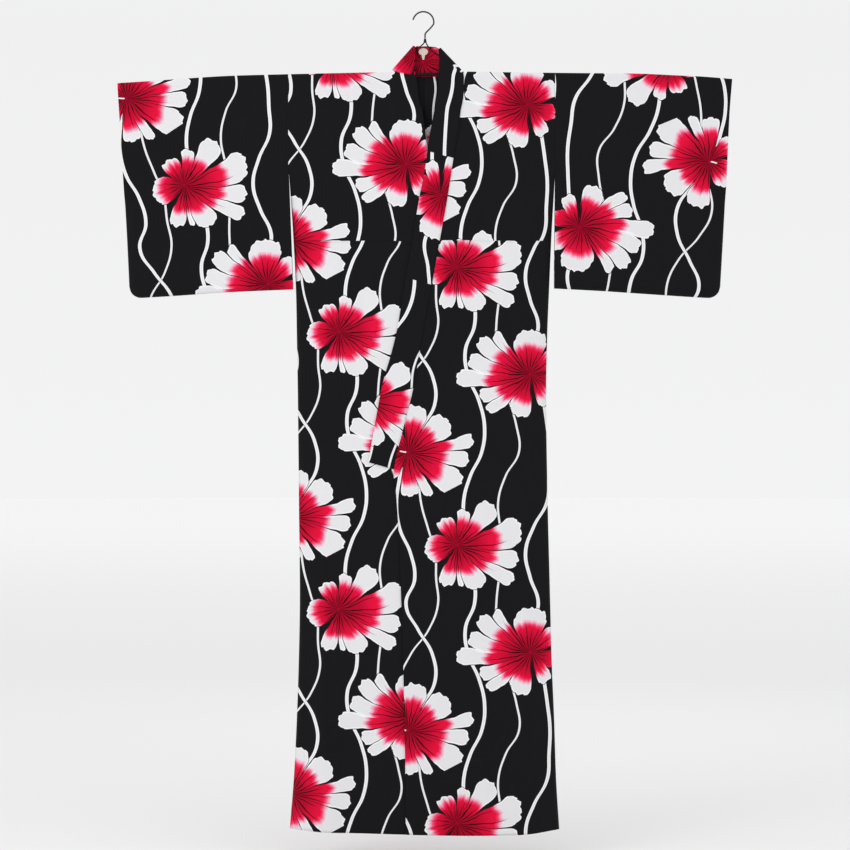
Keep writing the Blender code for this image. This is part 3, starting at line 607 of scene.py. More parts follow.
def body_fall(drop):
    fall = mix(FOLD_RADIUS, BODY_DEPTH, smooth(drop / BODY_FALL))
    return fall + (HEM_DEPTH - BODY_DEPTH) * smooth((drop - HEM_FALL_START) / HEM_FALL)


def side_distance(x, z):
    """How far inside the nearer side seam this place lies."""
    side = "right" if x < 0 else "left"
    return abs(read(SIDE_SEAMS, z, side)) - abs(x)


def body_depth(x, z, folds, clear=0.0):
    """Half depth of the body: open to the sleeve above the arm, closed at the side seam below."""
    drop = shoulder(x) - z
    inside = side_distance(x, z)
    arm_end = RIGHT_ARM_END if x < 0 else LEFT_ARM_END
    depth = mix(sleeve_fall(drop), body_fall(drop), smooth(inside / ARM_BLEND))
    closed = depth * rounded(inside, SIDE_ROUND)
    depth = mix(depth, closed, smooth((arm_end - z) / SIDE_OPENING))
    depth += folded(x, z, folds) * smooth(inside / EDGE_FADE) * smooth(drop / FOLD_DROP)
    return depth * mix(rounded(drop, FOLD_RADIUS), 1.0, clear)


def front_depth(x, z):
    return body_depth(x, z, FRONT_FOLDS)


def waist_tuck(x, z, down):
    """The cloth above the tuck stands out over its seam."""
    above = (TUCK_DOWN - down) * BODY_HEIGHT
    step = TUCK_STEP * smooth(side_distance(x, z) / TUCK_FADE)
    return step * math.exp(-above / TUCK_FADE) if above >= 0.0 else 0.0


def right_front_x(across, z):
    return mix(read(SIDE_SEAMS, z, "right"), read(RIGHT_FRONT_EDGE, z, "x"), across)


def right_front_top(x):
    """The shoulder fold, then the short cut edge beside the neck."""
    if x <= NECK_RIGHT + 0.0005:
        return shoulder(x)
    return mix(NECK_FRONT_TOP, NECK_FRONT_LOW, smooth((x - NECK_RIGHT) / NECK_EDGE_RUN))


def right_front_depth(x, z, down):
    """Beside the neck this front stands off a little, because the collar passes behind it."""
    clear = smooth((x - NECK_RIGHT) / NECK_FLARE)
    flare = TUCKED * clear * (1.0 - smooth((shoulder(x) - z) / FLARE_FALL))
    return body_depth(x, z, FRONT_FOLDS, clear) + flare + waist_tuck(x, z, down)


def left_front_x(across, z):
    """To the collar's seam, and on in under the collar as far as that goes down."""
    edge = read(LEFT_FRONT_EDGE, z, "x")
    under = smooth((NECK_LEVEL - z) / UNDER_START)
    under *= smooth((z - COLLAR_END - UNDER_LEVEL) / UNDER_EASE)
    return mix(read(SIDE_SEAMS, z, "left"), edge - EDGE_UNDER * under, across)


def left_front_depth(x, z, down):
    """Flush with the right front's layer outside, and in the middle of the collar under it."""
    into = (read(LEFT_FRONT_EDGE, z, "x") - x) / EDGE_UNDER
    lift = (COLLAR_LAYER - LAYER) * smooth(into * 2.0) * smooth((z - COLLAR_END) / UNDER_EASE)
    layer = (LAYER + lift) * smooth(side_distance(x, z) / EDGE_FADE)
    layer *= smooth((shoulder(x) - z) / EDGE_FADE)
    return front_depth(x, z) + layer + waist_tuck(x, z, down)


def back_x(side):
    return lambda across, z: mix(read(SIDE_SEAMS, z, side), 0.0, across)


def back_top(x):
    return shoulder(x) - read(NECK_BACK, x, "drop")


def back_depth(x, z, down=0.0):
    return body_depth(x, z, BACK_FOLDS)


def hung_place(x_of, top_of, depth_of, facing):
    """Lays a panel between its top edge and the hem; facing is -1 for a front, 1 for a back."""

    def place(across, down):
        z = mix(top_of(x_of(across, NECK_LEVEL)), HEM_LEVEL, down)
        x = x_of(across, z)
        z = mix(top_of(x), read(HEM, x, "z"), down)
        return Vector((x, facing * depth_of(x, z, down), z))

    return place


def steps(*runs):
    """Fractions in even steps: each run is where it starts and its count; the last one ends it."""
    made = []
    for (start, count), (end, _) in zip(runs, runs[1:]):
        made += [mix(start, end, i / count) for i in range(count)]
    return made + [runs[-1][0]]


def bar_rows(height, count=6):
    """Fractions down a panel for the quarter turn over the bar."""
    turn = [math.pi / 2 * step / count for step in range(count)]
    return [FOLD_RADIUS * (1.0 - math.cos(angle)) / height for angle in turn]


# How a panel lies on the bolt: a place on its front, in the print's own place there in
# centimetres, and how far the bolt leans there.
Lay = namedtuple("Lay", "x z across down lean")


def bolt_place(lay, x, z, facing):
    """Where on the bolt this point was printed; the back of a panel runs on over the shoulder."""
    top = shoulder(x)
    rise = 1.0 - min(max((top - z) / FOLD_RADIUS, 0.0), 1.0)
    turn = FOLD_RADIUS * (math.pi / 2 - rise - math.acos(rise))
    if facing > 0:
        z, turn = 2.0 * top - z, FOLD_RADIUS * (math.pi - 2.0) - turn
    dx, dz = x - lay.x, lay.z - z - turn
    lean = math.radians(lay.lean)
    return (
        lay.across / 100.0 + dx * math.cos(lean) - dz * math.sin(lean),
        lay.down / 100.0 + dx * math.sin(lean) + dz * math.cos(lean),
    )


def new_piece(name, bm, *materials):
    """Puts an object with this mesh and these materials in the scene."""
    mesh = bpy.data.meshes.new(name)
    bm.to_mesh(mesh)
    bm.free()
    for material in materials:
        mesh.materials.append(material)
    piece = bpy.data.objects.new(name, mesh)
    bpy.context.scene.collection.objects.link(piece)
    return piece


def add_wall(piece, thickness, offset):
    wall = piece.modifiers.new("wall", "SOLIDIFY")
    wall.thickness = thickness
    wall.offset = offset


def finish_cloth(name, bm, wall, places):
    """Turns a laid sheet into a piece with its wall, its bolt map and the printed cotton."""
    bolt = bm.loops.layers.uv.new("bolt")
    for face in bm.faces:
        face.smooth = True
        for loop, place in zip(face.loops, places(face)):
            loop[bolt].uv = place
    piece = new_piece(name, bm, cotton)
    add_wall(piece, wall, 0.0)
    return piece


def lay_grid(bm, columns, rows, place, note):
    """Adds a grid laid by place(across, down), and notes each point's fractions."""
    x_segments, y_segments = len(columns) - 1, len(rows) - 1
    made = bmesh.ops.create_grid(bm, x_segments=x_segments, y_segments=y_segments, size=1.0)
    for vert in made["verts"]:
        across = columns[round((vert.co.x + 1.0) / 2.0 * (len(columns) - 1))]
        down = rows[round((vert.co.y + 1.0) / 2.0 * (len(rows) - 1))]
        note[vert] = (across, down)
        vert.co = place(across, down)


def facing_of(face):
    return -1 if face.calc_center_median().y < 0.0 else 1


def turn_out(bm):
    """Makes every face look away from the hollow between the front and the back."""
    for face in bm.faces:
        face.normal_update()
        if face.normal.y * facing_of(face) < 0.0:
            face.normal_flip()


BODY_ROWS = bar_rows(BODY_HEIGHT) + steps(
    (FOLD_RADIUS / BODY_HEIGHT, 8),
    (0.0220, 56),
    (TUCK_DOWN - 0.0080, 5),
    (TUCK_DOWN, 1),
    (TUCK_DOWN + 0.0008, 190),
    (1.0, 0),
)
FRONT_COLUMNS = {
    "right": steps((0.0, 9), (0.16, 34), (0.7992, 5), (0.838, 8), (1.0, 0)),
    "left": steps((0.0, 9), (0.16, 42), (1.0, 0)),
}
LAYS = {  # above the tuck and on the back, and below the tuck
    "right": (Lay(-0.0381, -0.3355, 26.8, 43.9, 0.0), Lay(-0.1848, -1.3127, 10.8, 20.4, 0.0)),
    "left": (Lay(0.2281, -0.2057, 26.8, 43.9, 0.0), Lay(0.0741, -1.1715, 10.8, 20.4, 0.0)),
}
fronts = {
    "right": (right_front_x, right_front_top, right_front_depth, NECK_RIGHT),
    "left": (left_front_x, shoulder, left_front_depth, NECK_LEFT),
}
for side, (front_x, front_top, depth, neck_x) in fronts.items():
    seam_x = read(SIDE_SEAMS, NECK_LEVEL, side)
    bm = bmesh.new()
    noted = {}
    place = hung_place(front_x, front_top, depth, -1)
    lay_grid(bm, FRONT_COLUMNS[side], BODY_ROWS, place, noted)
    shared = [1.0 - place(across, 0.0).x / seam_x for across in FRONT_COLUMNS[side]]
    shared = [across for across in shared if across < 1.0 - neck_x / seam_x + 0.001]
    neck = steps((shared[-1], 14), (1.0 - 0.05 / abs(seam_x), 8), (1.0, 0))[1:]
    back_place = hung_place(back_x(side), back_top, back_depth, 1)
    lay_grid(bm, shared + neck, BODY_ROWS, back_place, noted)
    bmesh.ops.remove_doubles(bm, verts=bm.verts, dist=MERGE)
    turn_out(bm)

    def body_bolt(face, side=side, noted=noted):
        facing = facing_of(face)
        downs = [noted[vert][1] for vert in face.verts if vert in noted]
        below = facing < 0 and sum(downs) / len(downs) >= TUCK_DOWN
        lay = LAYS[side][below]
        return [bolt_place(lay, vert.co.x, vert.co.z, facing) for vert in face.verts]

    body = finish_cloth(f"body_{side}", bm, CLOTH, body_bolt)
    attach(body, "root")
    parts = ("upper", "middle", "lower")
    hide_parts(*(f"{half}_{side}_{part}" for half in ("front", "back") for part in parts))

# ---------------------------------------------------------------- sleeves
#
# Each sleeve is one length of the bolt over the shoulder, sewn up at the bottom and along the
# lower part of the cuff edge. The inner edge is sewn to the body above the arm and hangs open
# below it, so the lower sleeve is a bag that swings free of the body.

SLEEVE_HEIGHT, SLEEVE_HEM_LEVEL = 0.48, -0.62
SEAM_LAP = 0.004  # the sleeve's edge goes this far in under the body's
LAP_LOW, LAP_EASE = 0.0013, 0.02  # it lies this far below it, and leaves it over this drop
SLEEVE_FOLD_START, SLEEVE_FOLD_FADE = 0.297, 0.04
# Sleeve outlines: the cuff edge runs down, the bottom edge runs out from the body.
RIGHT_CUFF = rows_of(
    Edge,
    (-0.155, -0.6728), (-0.289, -0.664), (-0.474, -0.6527), (-0.628, -0.6453),
)
LEFT_CUFF = rows_of(
    Edge,
    (-0.146, 0.6791), (-0.228, 0.6725), (-0.39, 0.6648), (-0.492, 0.6593), (-0.626, 0.6516),
)
RIGHT_SLEEVE_BOTTOM = rows_of(
    Point,
    (-0.66, -0.63), (-0.553, -0.6237), (-0.421, -0.6149), (-0.285, -0.609),
)
LEFT_SLEEVE_BOTTOM = rows_of(
    Point,
    (0.286, -0.607), (0.393, -0.6127), (0.459, -0.6171), (0.591, -0.6259), (0.66, -0.6295),
)
# Inner edge of each sleeve: sewn to the body above, hanging open below.
RIGHT_SLEEVE_INNER = rows_of(
    Edge,
    (-0.133, -0.2976), (-0.34, -0.2971), (-0.362, -0.2962), (-0.609, -0.2867),
)
LEFT_SLEEVE_INNER = rows_of(
    Edge,
    (-0.133, 0.2903), (-0.34, 0.2903), (-0.368, 0.2901), (-0.607, 0.2878),
)

SLEEVE_FOLDS = rows_of(
    Fold,
    (-0.56, 0.03, -0.15, -0.72, 0.034, 0.0022),
    (-0.45, 0.01, -0.14, -0.74, 0.04, -0.0022),
    (-0.36, -0.01, -0.2, -0.72, 0.034, 0.0018),
    (0.35, 0.01, -0.18, -0.74, 0.036, -0.002),
    (0.44, 0.0, -0.14, -0.72, 0.04, 0.0022),
    (0.57, -0.03, -0.15, -0.74, 0.036, -0.0022),
    (-0.61, 0.055, -0.18, -0.52, 0.012, 0.0012),
    (-0.505, -0.03, -0.3, -0.66, 0.011, -0.0011),
    (-0.4, 0.035, -0.16, -0.48, 0.013, 0.0012),
    (0.395, -0.03, -0.2, -0.58, 0.012, 0.0012),
    (0.505, 0.03, -0.32, -0.68, 0.012, -0.0012),
    (0.625, -0.05, -0.17, -0.5, 0.011, 0.0012),
)


def sleeve_depth(x, z, cuff_distance, bottom_distance):
    drop = shoulder(x) - z
    depth = sleeve_fall(drop)
    closed = depth * rounded(cuff_distance, SLEEVE_ROUND)
    depth = mix(depth, closed, smooth((drop - CUFF_OPENING) / SLEEVE_FADE))
    depth *= rounded(bottom_distance, SLEEVE_ROUND)
    near = smooth(min(cuff_distance, bottom_distance) / SLEEVE_FADE)
    inner = smooth((abs(x) - SLEEVE_FOLD_START) / SLEEVE_FOLD_FADE)
    depth += folded(x, z, SLEEVE_FOLDS) * near * inner * smooth(drop / FOLD_DROP)
    return depth * rounded(drop, FOLD_RADIUS)


def sleeve_place(inner, cuff, bottom, arm_end, facing):
    """Lays one side of a sleeve between its sewn edge and its cuff, with the outer corner round."""

    def place(across, down):
        z = mix(NECK_LEVEL, SLEEVE_HEM_LEVEL, down)
        for _ in range(3):
            edge, end = read(inner, z, "x"), read(cuff, z, "x")
            lap = SEAM_LAP * (1.0 - 0.9 * smooth((arm_end + LAP_EASE - z) / LAP_EASE))
            x = mix(edge, end, max(across, 0.0)) + math.copysign(lap, edge) * min(across, 0.0)
            cuff_distance = abs(end - x)
            low = read(bottom, x, "z")
            short = max(SLEEVE_CORNER - cuff_distance, 0.0)
            low += SLEEVE_CORNER - math.sqrt(SLEEVE_CORNER**2 - short**2)
            z = mix(shoulder(x), low, down)
        depth = sleeve_depth(x, z, cuff_distance, z - low)
        under = LAP_LOW * smooth(-across * 1.5) * smooth((z - arm_end) / LAP_EASE)
        return Vector((x, facing * max(depth - under, 0.0), z))

    return place


SLEEVE_ROWS = bar_rows(SLEEVE_HEIGHT) + steps(
    (FOLD_RADIUS / SLEEVE_HEIGHT, 10), (0.10, 60), (0.90, 7), (0.97, 6), (1.0, 0)
)
SLEEVE_COLUMNS = [-1.0, -0.4] + steps((0.0, 55), (0.90, 6), (0.97, 5), (1.0, 0))
SLEEVES = {
    "right": (
        (RIGHT_SLEEVE_INNER, RIGHT_CUFF, RIGHT_SLEEVE_BOTTOM, RIGHT_ARM_END),
        Lay(-0.5243, -0.3817, 10.8, 20.4, 6.0),
    ),
    "left": (
        (LEFT_SLEEVE_INNER, LEFT_CUFF, LEFT_SLEEVE_BOTTOM, LEFT_ARM_END),
        Lay(0.3447, -0.4719, 26.8, 43.9, 174.5),
    ),
}
for side, (outline, lay) in SLEEVES.items():
    bm = bmesh.new()
    for facing in (-1, 1):
        lay_grid(bm, SLEEVE_COLUMNS, SLEEVE_ROWS, sleeve_place(*outline, facing), {})
    bmesh.ops.remove_doubles(bm, verts=bm.verts, dist=MERGE)
    turn_out(bm)

    def sleeve_bolt(face, lay=lay):
        facing = facing_of(face)
        return [bolt_place(lay, vert.co.x, vert.co.z, facing) for vert in face.verts]

    sleeve = finish_cloth(f"sleeve_{side}", bm, CLOTH, sleeve_bolt)
    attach(sleeve, "root")
    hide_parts(f"sleeve_{side}_front", f"sleeve_{side}_back")

# ---------------------------------------------------------------- collar and over-collar
#
# The collar is a strip folded lengthwise round the front edges and the back of the neck. The
# over-collar is a second strip, sewn over the first as far down as the chest, and ends there in
# a seam across the band. On the right side both are tucked in behind the right front.

BAND_WALL = 0.0006
COLLAR_PLY, OVER_PLY = 0.0009, 0.0016  # from the middle of the band to each of its two walls
BAND_STEP = 0.006
END_ROUND = 0.004  # a sewn end thins out over this much of its length
SEAM_CLEAR = 0.0006  # between the left front's edge and the collar's seam
Row = namedtuple("Row", "seam free")
Band = namedtuple("Band", "seam_x seam_z free_x free_z")
# Free edge of the collar where it crosses the front, and the same for the tucked side.
LEFT_COLLAR_FREE = rows_of(
    Edge,
    (-0.178, 0.0323), (-0.28, 0.0125), (-0.334, 0.0059), (-0.417, -0.0101), (-0.498, -0.0227),
    (-0.613, -0.0431), (-0.698, -0.0572), (-0.757, -0.0717), (-0.815, -0.0885), (-0.901, -0.105),
    (-0.989, -0.1201),
)
RIGHT_COLLAR_SEAM = rows_of(
    Edge,
    (-0.175, -0.051), (-0.21, -0.053), (-0.247, -0.0525), (-0.303, -0.048), (-0.417, -0.0293),
    (-0.545, -0.0073), (-0.996, 0.0125),
)
COLLAR_RISE = 0.0154  # a row across the band climbs this much from the seam to the free edge
RIGHT_COLLAR_END = -0.9960  # the tucked side ends a little higher
OVER_COLLAR_END = -0.6025  # the over-collar stops here, at the seam, on both fronts
HIDDEN_EDGE = 0.0022  # the tucked collar's free edge stays this far behind its front's edge

# The band from the left front up to the fold beside the neck: how far each row's seam end lies
# below the shoulder fold, and its free end.
LEFT_NECK_ROWS = (
    (0.064, 0.0326, -0.175), (0.042, 0.0333, -0.145), (0.022, 0.0342, -0.118),
    (0.0075, 0.0354, -0.098),
)
LEFT_NECK_FOLD = Band(0.0824, -0.1268, 0.0367, -0.0785)
# Behind the neck, from the left fold to the right one: where each row stands at the seam and
# at the free edge.
BACK_NECK_ROWS = (
    (0.0715, 0.033, -0.0768), (0.047, 0.024, -0.0752), (0.023, 0.013, -0.0742),
    (-0.001, 0.003, -0.0738), (-0.029, -0.007, -0.0738), (-0.056, -0.015, -0.0734),
)
RIGHT_NECK_FOLD = Band(-0.0668, -0.1262, -0.0205, -0.0737)
# Down from the right fold, behind the right front.
RIGHT_NECK_ROWS = rows_of(
    Band,
    (-0.055, -0.1322, -0.0186, -0.102), (-0.0515, -0.144, -0.018, -0.123),
    (-0.051, -0.159, -0.0178, -0.142),
)


def flat_row(band, layer):
    """A row across the band on the front of the robe."""
    ends = []
    for x, z in ((band.seam_x, band.seam_z), (band.free_x, band.free_z)):
        level = min(z, shoulder(x) - FOLD_RADIUS)
        fade = smooth((shoulder(x) - level - FOLD_RADIUS) / EDGE_FADE)
        ends.append(Vector((x, -front_depth(x, level) - layer * fade, z)))
    return Row(*ends)


def left_band(z):
    free_z = z + COLLAR_RISE
    seam_x = read(LEFT_FRONT_EDGE, z, "x") - SEAM_CLEAR
    return Band(seam_x, z, read(LEFT_COLLAR_FREE, free_z, "x"), free_z)


def right_band(z):
    free_z = z + COLLAR_RISE
    free_x = read(RIGHT_FRONT_EDGE, free_z, "x") - HIDDEN_EDGE
    return Band(read(RIGHT_COLLAR_SEAM, z, "x"), z, free_x, free_z)


def levels(top, bottom):
    return steps((top, round((top - bottom) / BAND_STEP)), (bottom, 0))


def turned_rows(fold, into, start, count=10):
    """The half turn at one side of the neck: it starts on the front at -1 or on the back at 1."""
    along_x, along_z = fold.free_x - fold.seam_x, fold.free_z - fold.seam_z
    length = math.hypot(along_x, along_z)
    out_x, out_z = into * -along_z / length, into * along_x / length
    rows = []
    for step in range(count + 1):
        angle = math.pi * step / count
        reach = FOLD_RADIUS * (math.sin(angle) - 1.0)
        y = start * FOLD_RADIUS * math.cos(angle)
        move = Vector((out_x * reach, y, out_z * reach))
        seam = Vector((fold.seam_x, 0.0, fold.seam_z))
        free = Vector((fold.free_x, 0.0, fold.free_z))
        rows.append(Row(seam + move, free + move))
    return rows


def back_row(seam_x, free_x, free_z):
    seam_z = back_top(seam_x)
    depth = back_depth(seam_x, seam_z)
    return Row(Vector((seam_x, depth, seam_z - 0.001)), Vector((free_x, depth, free_z)))


def evened(rows):
    """The same band with its rows close together, on smooth curves through the given ones."""
    made = []
    for i in range(len(rows) - 1):
        near = [rows[max(i - 1, 0)], rows[i], rows[i + 1], rows[min(i + 2, len(rows) - 1)]]
        span = (near[2].seam - near[1].seam + near[2].free - near[1].free).length / 2
        count = max(round(span / BAND_STEP), 1)
        for step in range(count):
            t = step / count
            ends = []
            for end in ("seam", "free"):
                a, b, c, d = (getattr(row, end) for row in near)
                bend = 2 * a - 5 * b + 4 * c - d + t * (3 * (b - c) + d - a)
                ends.append(b + 0.5 * t * (c - a + t * bend))
            made.append(Row(*ends))
    return made + [rows[-1]]


# How a stretch of a strip was printed, in centimetres: how far along the strip it goes, a place
# on it, from the seam edge and along, the place of the bolt that lies there, and 1 or -1 for
# the way up.
Cut = namedtuple("Cut", "until reach along across down way")


def band_sheet(name, node, rows, ply, outside, inside, shut):
    """A strip folded lengthwise: out from the seam, round the free edge and back inside.

    Each end that is shut has its two walls sewn together.
    """
    middles = [(row.seam + row.free) / 2 for row in rows]
    along = [0.0]
    for a, b in zip(middles, middles[1:]):
        along.append(along[-1] + (b - a).length)
    facing = Vector((0.0, -1.0, 0.0))
    normals = []
    for i, row in enumerate(rows):
        run = middles[min(i + 1, len(rows) - 1)] - middles[max(i - 1, 0)]
        normal = (row.free - row.seam).cross(run).normalized()
        if normal.dot(facing) < 0.0:
            normal.negate()
        facing = normal
        normals.append(normal)
    outer = steps((0.0, 9), (1.0, 0))
    turn = [math.pi * i / 6 for i in range(1, 6)]
    sections = [(part, 1.0, part) for part in outer]
    sections += [(1.0, math.cos(angle), 1.0) for angle in turn]
    sections += [(part, -1.0, 2.0 - part) for part in reversed(outer)]

    def place(across, down):
        i = round(down)
        row, normal = rows[i], normals[i]
        width = (row.free - row.seam).length
        part, lift, _ = sections[round(across)]
        ends = [END_ROUND] + [along[i]] * shut[0] + [along[-1] - along[i]] * shut[1]
        thick = ply * max(rounded(min(ends), END_ROUND), 0.25)
        past = thick * math.sqrt(max(1.0 - lift * lift, 0.0))
        inner = min(part, 1.0 - thick / width)
        return row.seam.lerp(row.free, inner + past / width) + normal * thick * lift

    bm = bmesh.new()
    noted = {}
    lay_grid(bm, list(range(len(sections))), list(range(len(rows))), place, noted)
    bm.faces.ensure_lookup_table()
    first = min(bm.faces, key=lambda face: sum(sum(noted[vert]) for vert in face.verts))
    first.normal_update()
    if first.normal.dot(normals[0]) < 0.0:
        bmesh.ops.reverse_faces(bm, faces=bm.faces)

    def band_bolt(face):
        made = []
        for vert in face.verts:
            across, down = noted[vert]
            width = (rows[round(down)].free - rows[round(down)].seam).length
            part = sections[round(across)][2]
            made.append((part * width * 100.0, along[round(down)] * 100.0, part - 1.0))
        cuts = inside if sum(part for _, _, part in made) > 0.0 else outside
        cut = next(cut for cut in cuts if made[0][1] <= cut.until)
        return [
            (
                (cut.across - cut.way * (reach - cut.reach)) / 100.0,
                (cut.down - cut.way * (length - cut.along)) / 100.0,
            )
            for reach, length, _ in made
        ]

    piece = finish_cloth(name, bm, BAND_WALL, band_bolt)
    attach(piece, "root")
    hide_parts(node)


neck_bands = []
for drop, free_x, free_z in LEFT_NECK_ROWS:
    seam_z = shoulder(NECK_LEFT) - drop
    seam_x = read(LEFT_FRONT_EDGE, seam_z, "x") - SEAM_CLEAR
    neck_bands.append(Band(seam_x, seam_z, free_x, free_z))

BAND_START = 0.020
left_levels = levels(neck_bands[0].seam_z - BAND_START, OVER_COLLAR_END)
right_levels = levels(RIGHT_NECK_ROWS[-1].seam_z - BAND_START, OVER_COLLAR_END)
left_rows = [flat_row(left_band(z), COLLAR_LAYER) for z in reversed(left_levels)]
neck_rows = [flat_row(band, COLLAR_LAYER) for band in neck_bands]
neck_rows += turned_rows(LEFT_NECK_FOLD, -1, -1)
neck_rows += [back_row(*row) for row in BACK_NECK_ROWS]
neck_rows += turned_rows(RIGHT_NECK_FOLD, 1, 1)
neck_rows += [flat_row(band, -TUCKED) for band in RIGHT_NECK_ROWS]
right_rows = [flat_row(right_band(z), -TUCKED) for z in right_levels]
whole = left_rows[:-1] + evened([left_rows[-1], *neck_rows, right_rows[0]]) + right_rows[1:]
NECK_CUTS = rows_of(
    Cut,
    (28.2, 1.4, 19.9, 26.8, 43.9, -1),
    (57.0, -1.4, 19.9, 26.8, 43.9, -1),
    (math.inf, 5.4, 63.9, 10.8, 20.4, -1),
)
NECK_INSIDE = (Cut(math.inf, 10.2, 57.2, 10.8, 20.4, -1),)
band_sheet(
    "collar_round_neck", "over_collar", whole, OVER_PLY, NECK_CUTS, NECK_INSIDE, (True, True)
)

LAP_UNDER = 0.012
left_end = levels(OVER_COLLAR_END + LAP_UNDER, COLLAR_END)
right_end = levels(OVER_COLLAR_END + LAP_UNDER, RIGHT_COLLAR_END)
left_rows = [flat_row(left_band(z), COLLAR_LAYER) for z in left_end]
right_rows = [flat_row(right_band(z), -TUCKED) for z in right_end]
left_rows.reverse()
LEFT_CUTS = (Cut(math.inf, 9.7, 13.3, 10.8, 20.4, 1),)
band_sheet("collar_below", "collar_left", left_rows, COLLAR_PLY, LEFT_CUTS, LEFT_CUTS, (True, False))
RIGHT_CUTS = (Cut(math.inf, 0.0, 0.0, 16.0, 20.0, 1),)
band_sheet(
    "collar_tucked", "collar_right", right_rows, COLLAR_PLY, RIGHT_CUTS, RIGHT_CUTS, (False, True)
)

# ---------------------------------------------------------------- neck tab
#
# A small tab of cream cotton tape behind the neck: a round head with a rolled rim and a pale
# middle, on a short stem that is sewn to the inside of the collar.

TAB_HALF_WIDTH, TAB_HALF_HEIGHT, TAB_LEVEL, TAB_FOOT = 0.0101, 0.0077, -0.0860, -0.1035
TAB_RIM, TAB_WALL, TAB_SUNK = 0.0017, 0.0009, 0.0005
TAB_CLEAR = 0.0004  # the tab stands this far in front of its solid
# Down the stem: how much narrower it gets, and how much of what is left of the way it goes.
TAB_STEM = ((0.76, 0.45), (0.76, 0.45), (0.82, 1.0))
TAPE_THREADS = 7000.0  # radians of weave to a metre


def cotton_tape(name, dark, light):
    material, shader = new_material(name, Roughness=0.85)
    place = object_place(material.node_tree)
    x, _, z = place.parts()
    cloud = place.noise(300.0)
    cloud.pick(dark, light).into(shader.inputs["Base Color"])
    weave = (x * TAPE_THREADS).math("SINE") * (z * TAPE_THREADS).math("SINE")
    emboss(weave + cloud, shader, 0.4, 0.0002)
    return material


bm = bmesh.new()
bmesh.ops.create_circle(bm, cap_ends=True, segments=32, radius=1.0)
head = bm.faces[:]
for vert in bm.verts:
    vert.co = (vert.co.x * TAB_HALF_WIDTH, 0.0, vert.co.y * TAB_HALF_HEIGHT + TAB_LEVEL)
bottom = sorted(bm.verts, key=lambda vert: vert.co.z)[:5]
bottom.sort(key=lambda vert: vert.co.x)
for size, way in TAB_STEM:
    below = [
        bm.verts.new((vert.co.x * size, 0.0, vert.co.z + (TAB_FOOT - vert.co.z) * way))
        for vert in bottom
    ]
    for a, b, under_a, under_b in zip(bottom, bottom[1:], below, below[1:]):
        bm.faces.new((a, under_a, under_b, b))
    bottom = below
bm.normal_update()
bmesh.ops.inset_region(bm, faces=head, thickness=TAB_RIM, use_even_offset=True, use_boundary=True)
for vert in head[0].verts:
    vert.co.y += TAB_SUNK
head[0].material_index = 1
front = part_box("neck_tab")[0][1] - TAB_CLEAR
bmesh.ops.translate(bm, vec=(0.0, front, 0.0), verts=bm.verts)
bm.normal_update()
bmesh.ops.reverse_faces(bm, faces=[face for face in bm.faces if face.normal.y > 0.0])
rim_tape = cotton_tape("tab_tape", (0.56, 0.53, 0.45), (0.72, 0.69, 0.60))
middle_tape = cotton_tape("tab_middle", (0.62, 0.54, 0.50), (0.74, 0.66, 0.60))
tab = new_piece("tab", bm, rim_tape, middle_tape)
add_wall(tab, TAB_WALL, -1.0)
soft = tab.modifiers.new("soft edges", "BEVEL")
soft.width = 0.0003
soft.segments = 2
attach(tab, "root")
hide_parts("neck_tab")

# ---------------------------------------------------------------- hanger
#
# A dark steel hook screwed into a small black knob, with two black wires down to the bar that
# carries the shoulders. The bar is lacquered wood and is hidden inside the cloth.

STEEL, LACQUER = (0.085, 0.070, 0.062), (0.006, 0.006, 0.007)
WORN = 0.86  # brightness of a colour where it is worn


def hard_finish(name, colour, roughness, metallic, gloss):
    """Metal or lacquer with faint cloudy wear in its gloss."""
    material, shader = new_material(name, Metallic=metallic, Specular_IOR_Level=gloss)
    place = object_place(material.node_tree)
    cloud = place.noise(90.0, 4.0)
    fine = place.noise(1500.0, 2.0)
    worn = tuple(WORN * part for part in colour)
    cloud.pick(worn, colour).into(shader.inputs["Base Color"])
    (roughness - 0.05 + cloud * 0.10 + fine * 0.03).into(shader.inputs["Roughness"])
    return material


steel = hard_finish("nickel_steel", STEEL, 0.26, 1.0, 0.5)
knob_black = hard_finish("black_knob", LACQUER, 0.40, 0.0, 0.18)
lacquer = hard_finish("black_lacquer", LACQUER, 0.45, 0.0, 0.14)
bpy.data.objects["hanger_bar"].material_slots[0].material = lacquer

HOOK_WIRE, HOOK_RADIUS, WIRE = 0.0018, 0.0230, 0.0014
STEM_X, STEM_FOOT = 0.0038, -0.0570
HOOK_TIP_ANGLE, HOOK_HEEL_ANGLE = 169.0, -12.0  # degrees round the hook, 0 towards the left
# From the round of the hook in towards its straight stem.
HOOK_SHANK = (
    (0.0205, -0.028), (0.0189, -0.0308), (0.0167, -0.0332), (0.0137, -0.0364), (0.0103, -0.0398),
    (0.0085, -0.0415), (0.007, -0.043), (0.0056, -0.0447), (0.0046, -0.0464), (0.004, -0.0482),
    (0.0038, -0.05),
)
KNOB_TOP_RADIUS, KNOB_FOOT_RADIUS, KNOB_HEIGHT = 0.0022, 0.0038, 0.0095
WIRE_OUT, WIRE_CLEAR, WIRE_UPRIGHT = 0.0020, 0.0003, 0.004
GAP = 0.0003
WIRES = {
    "right": (-0.0622, ((-0.0084, -0.0767), (-0.0200, -0.0830), (-0.0430, -0.1040))),
    "left": (0.0700, ((0.0119, -0.0767), (0.0190, -0.0845), (0.0530, -0.1090))),
}


# Rings at a wire's rounded end: their size and how far out they are, as parts of its radius.
WIRE_END = ((0.02, -1.0), (0.55, -0.83), (0.85, -0.5), (1.0, 0.0))


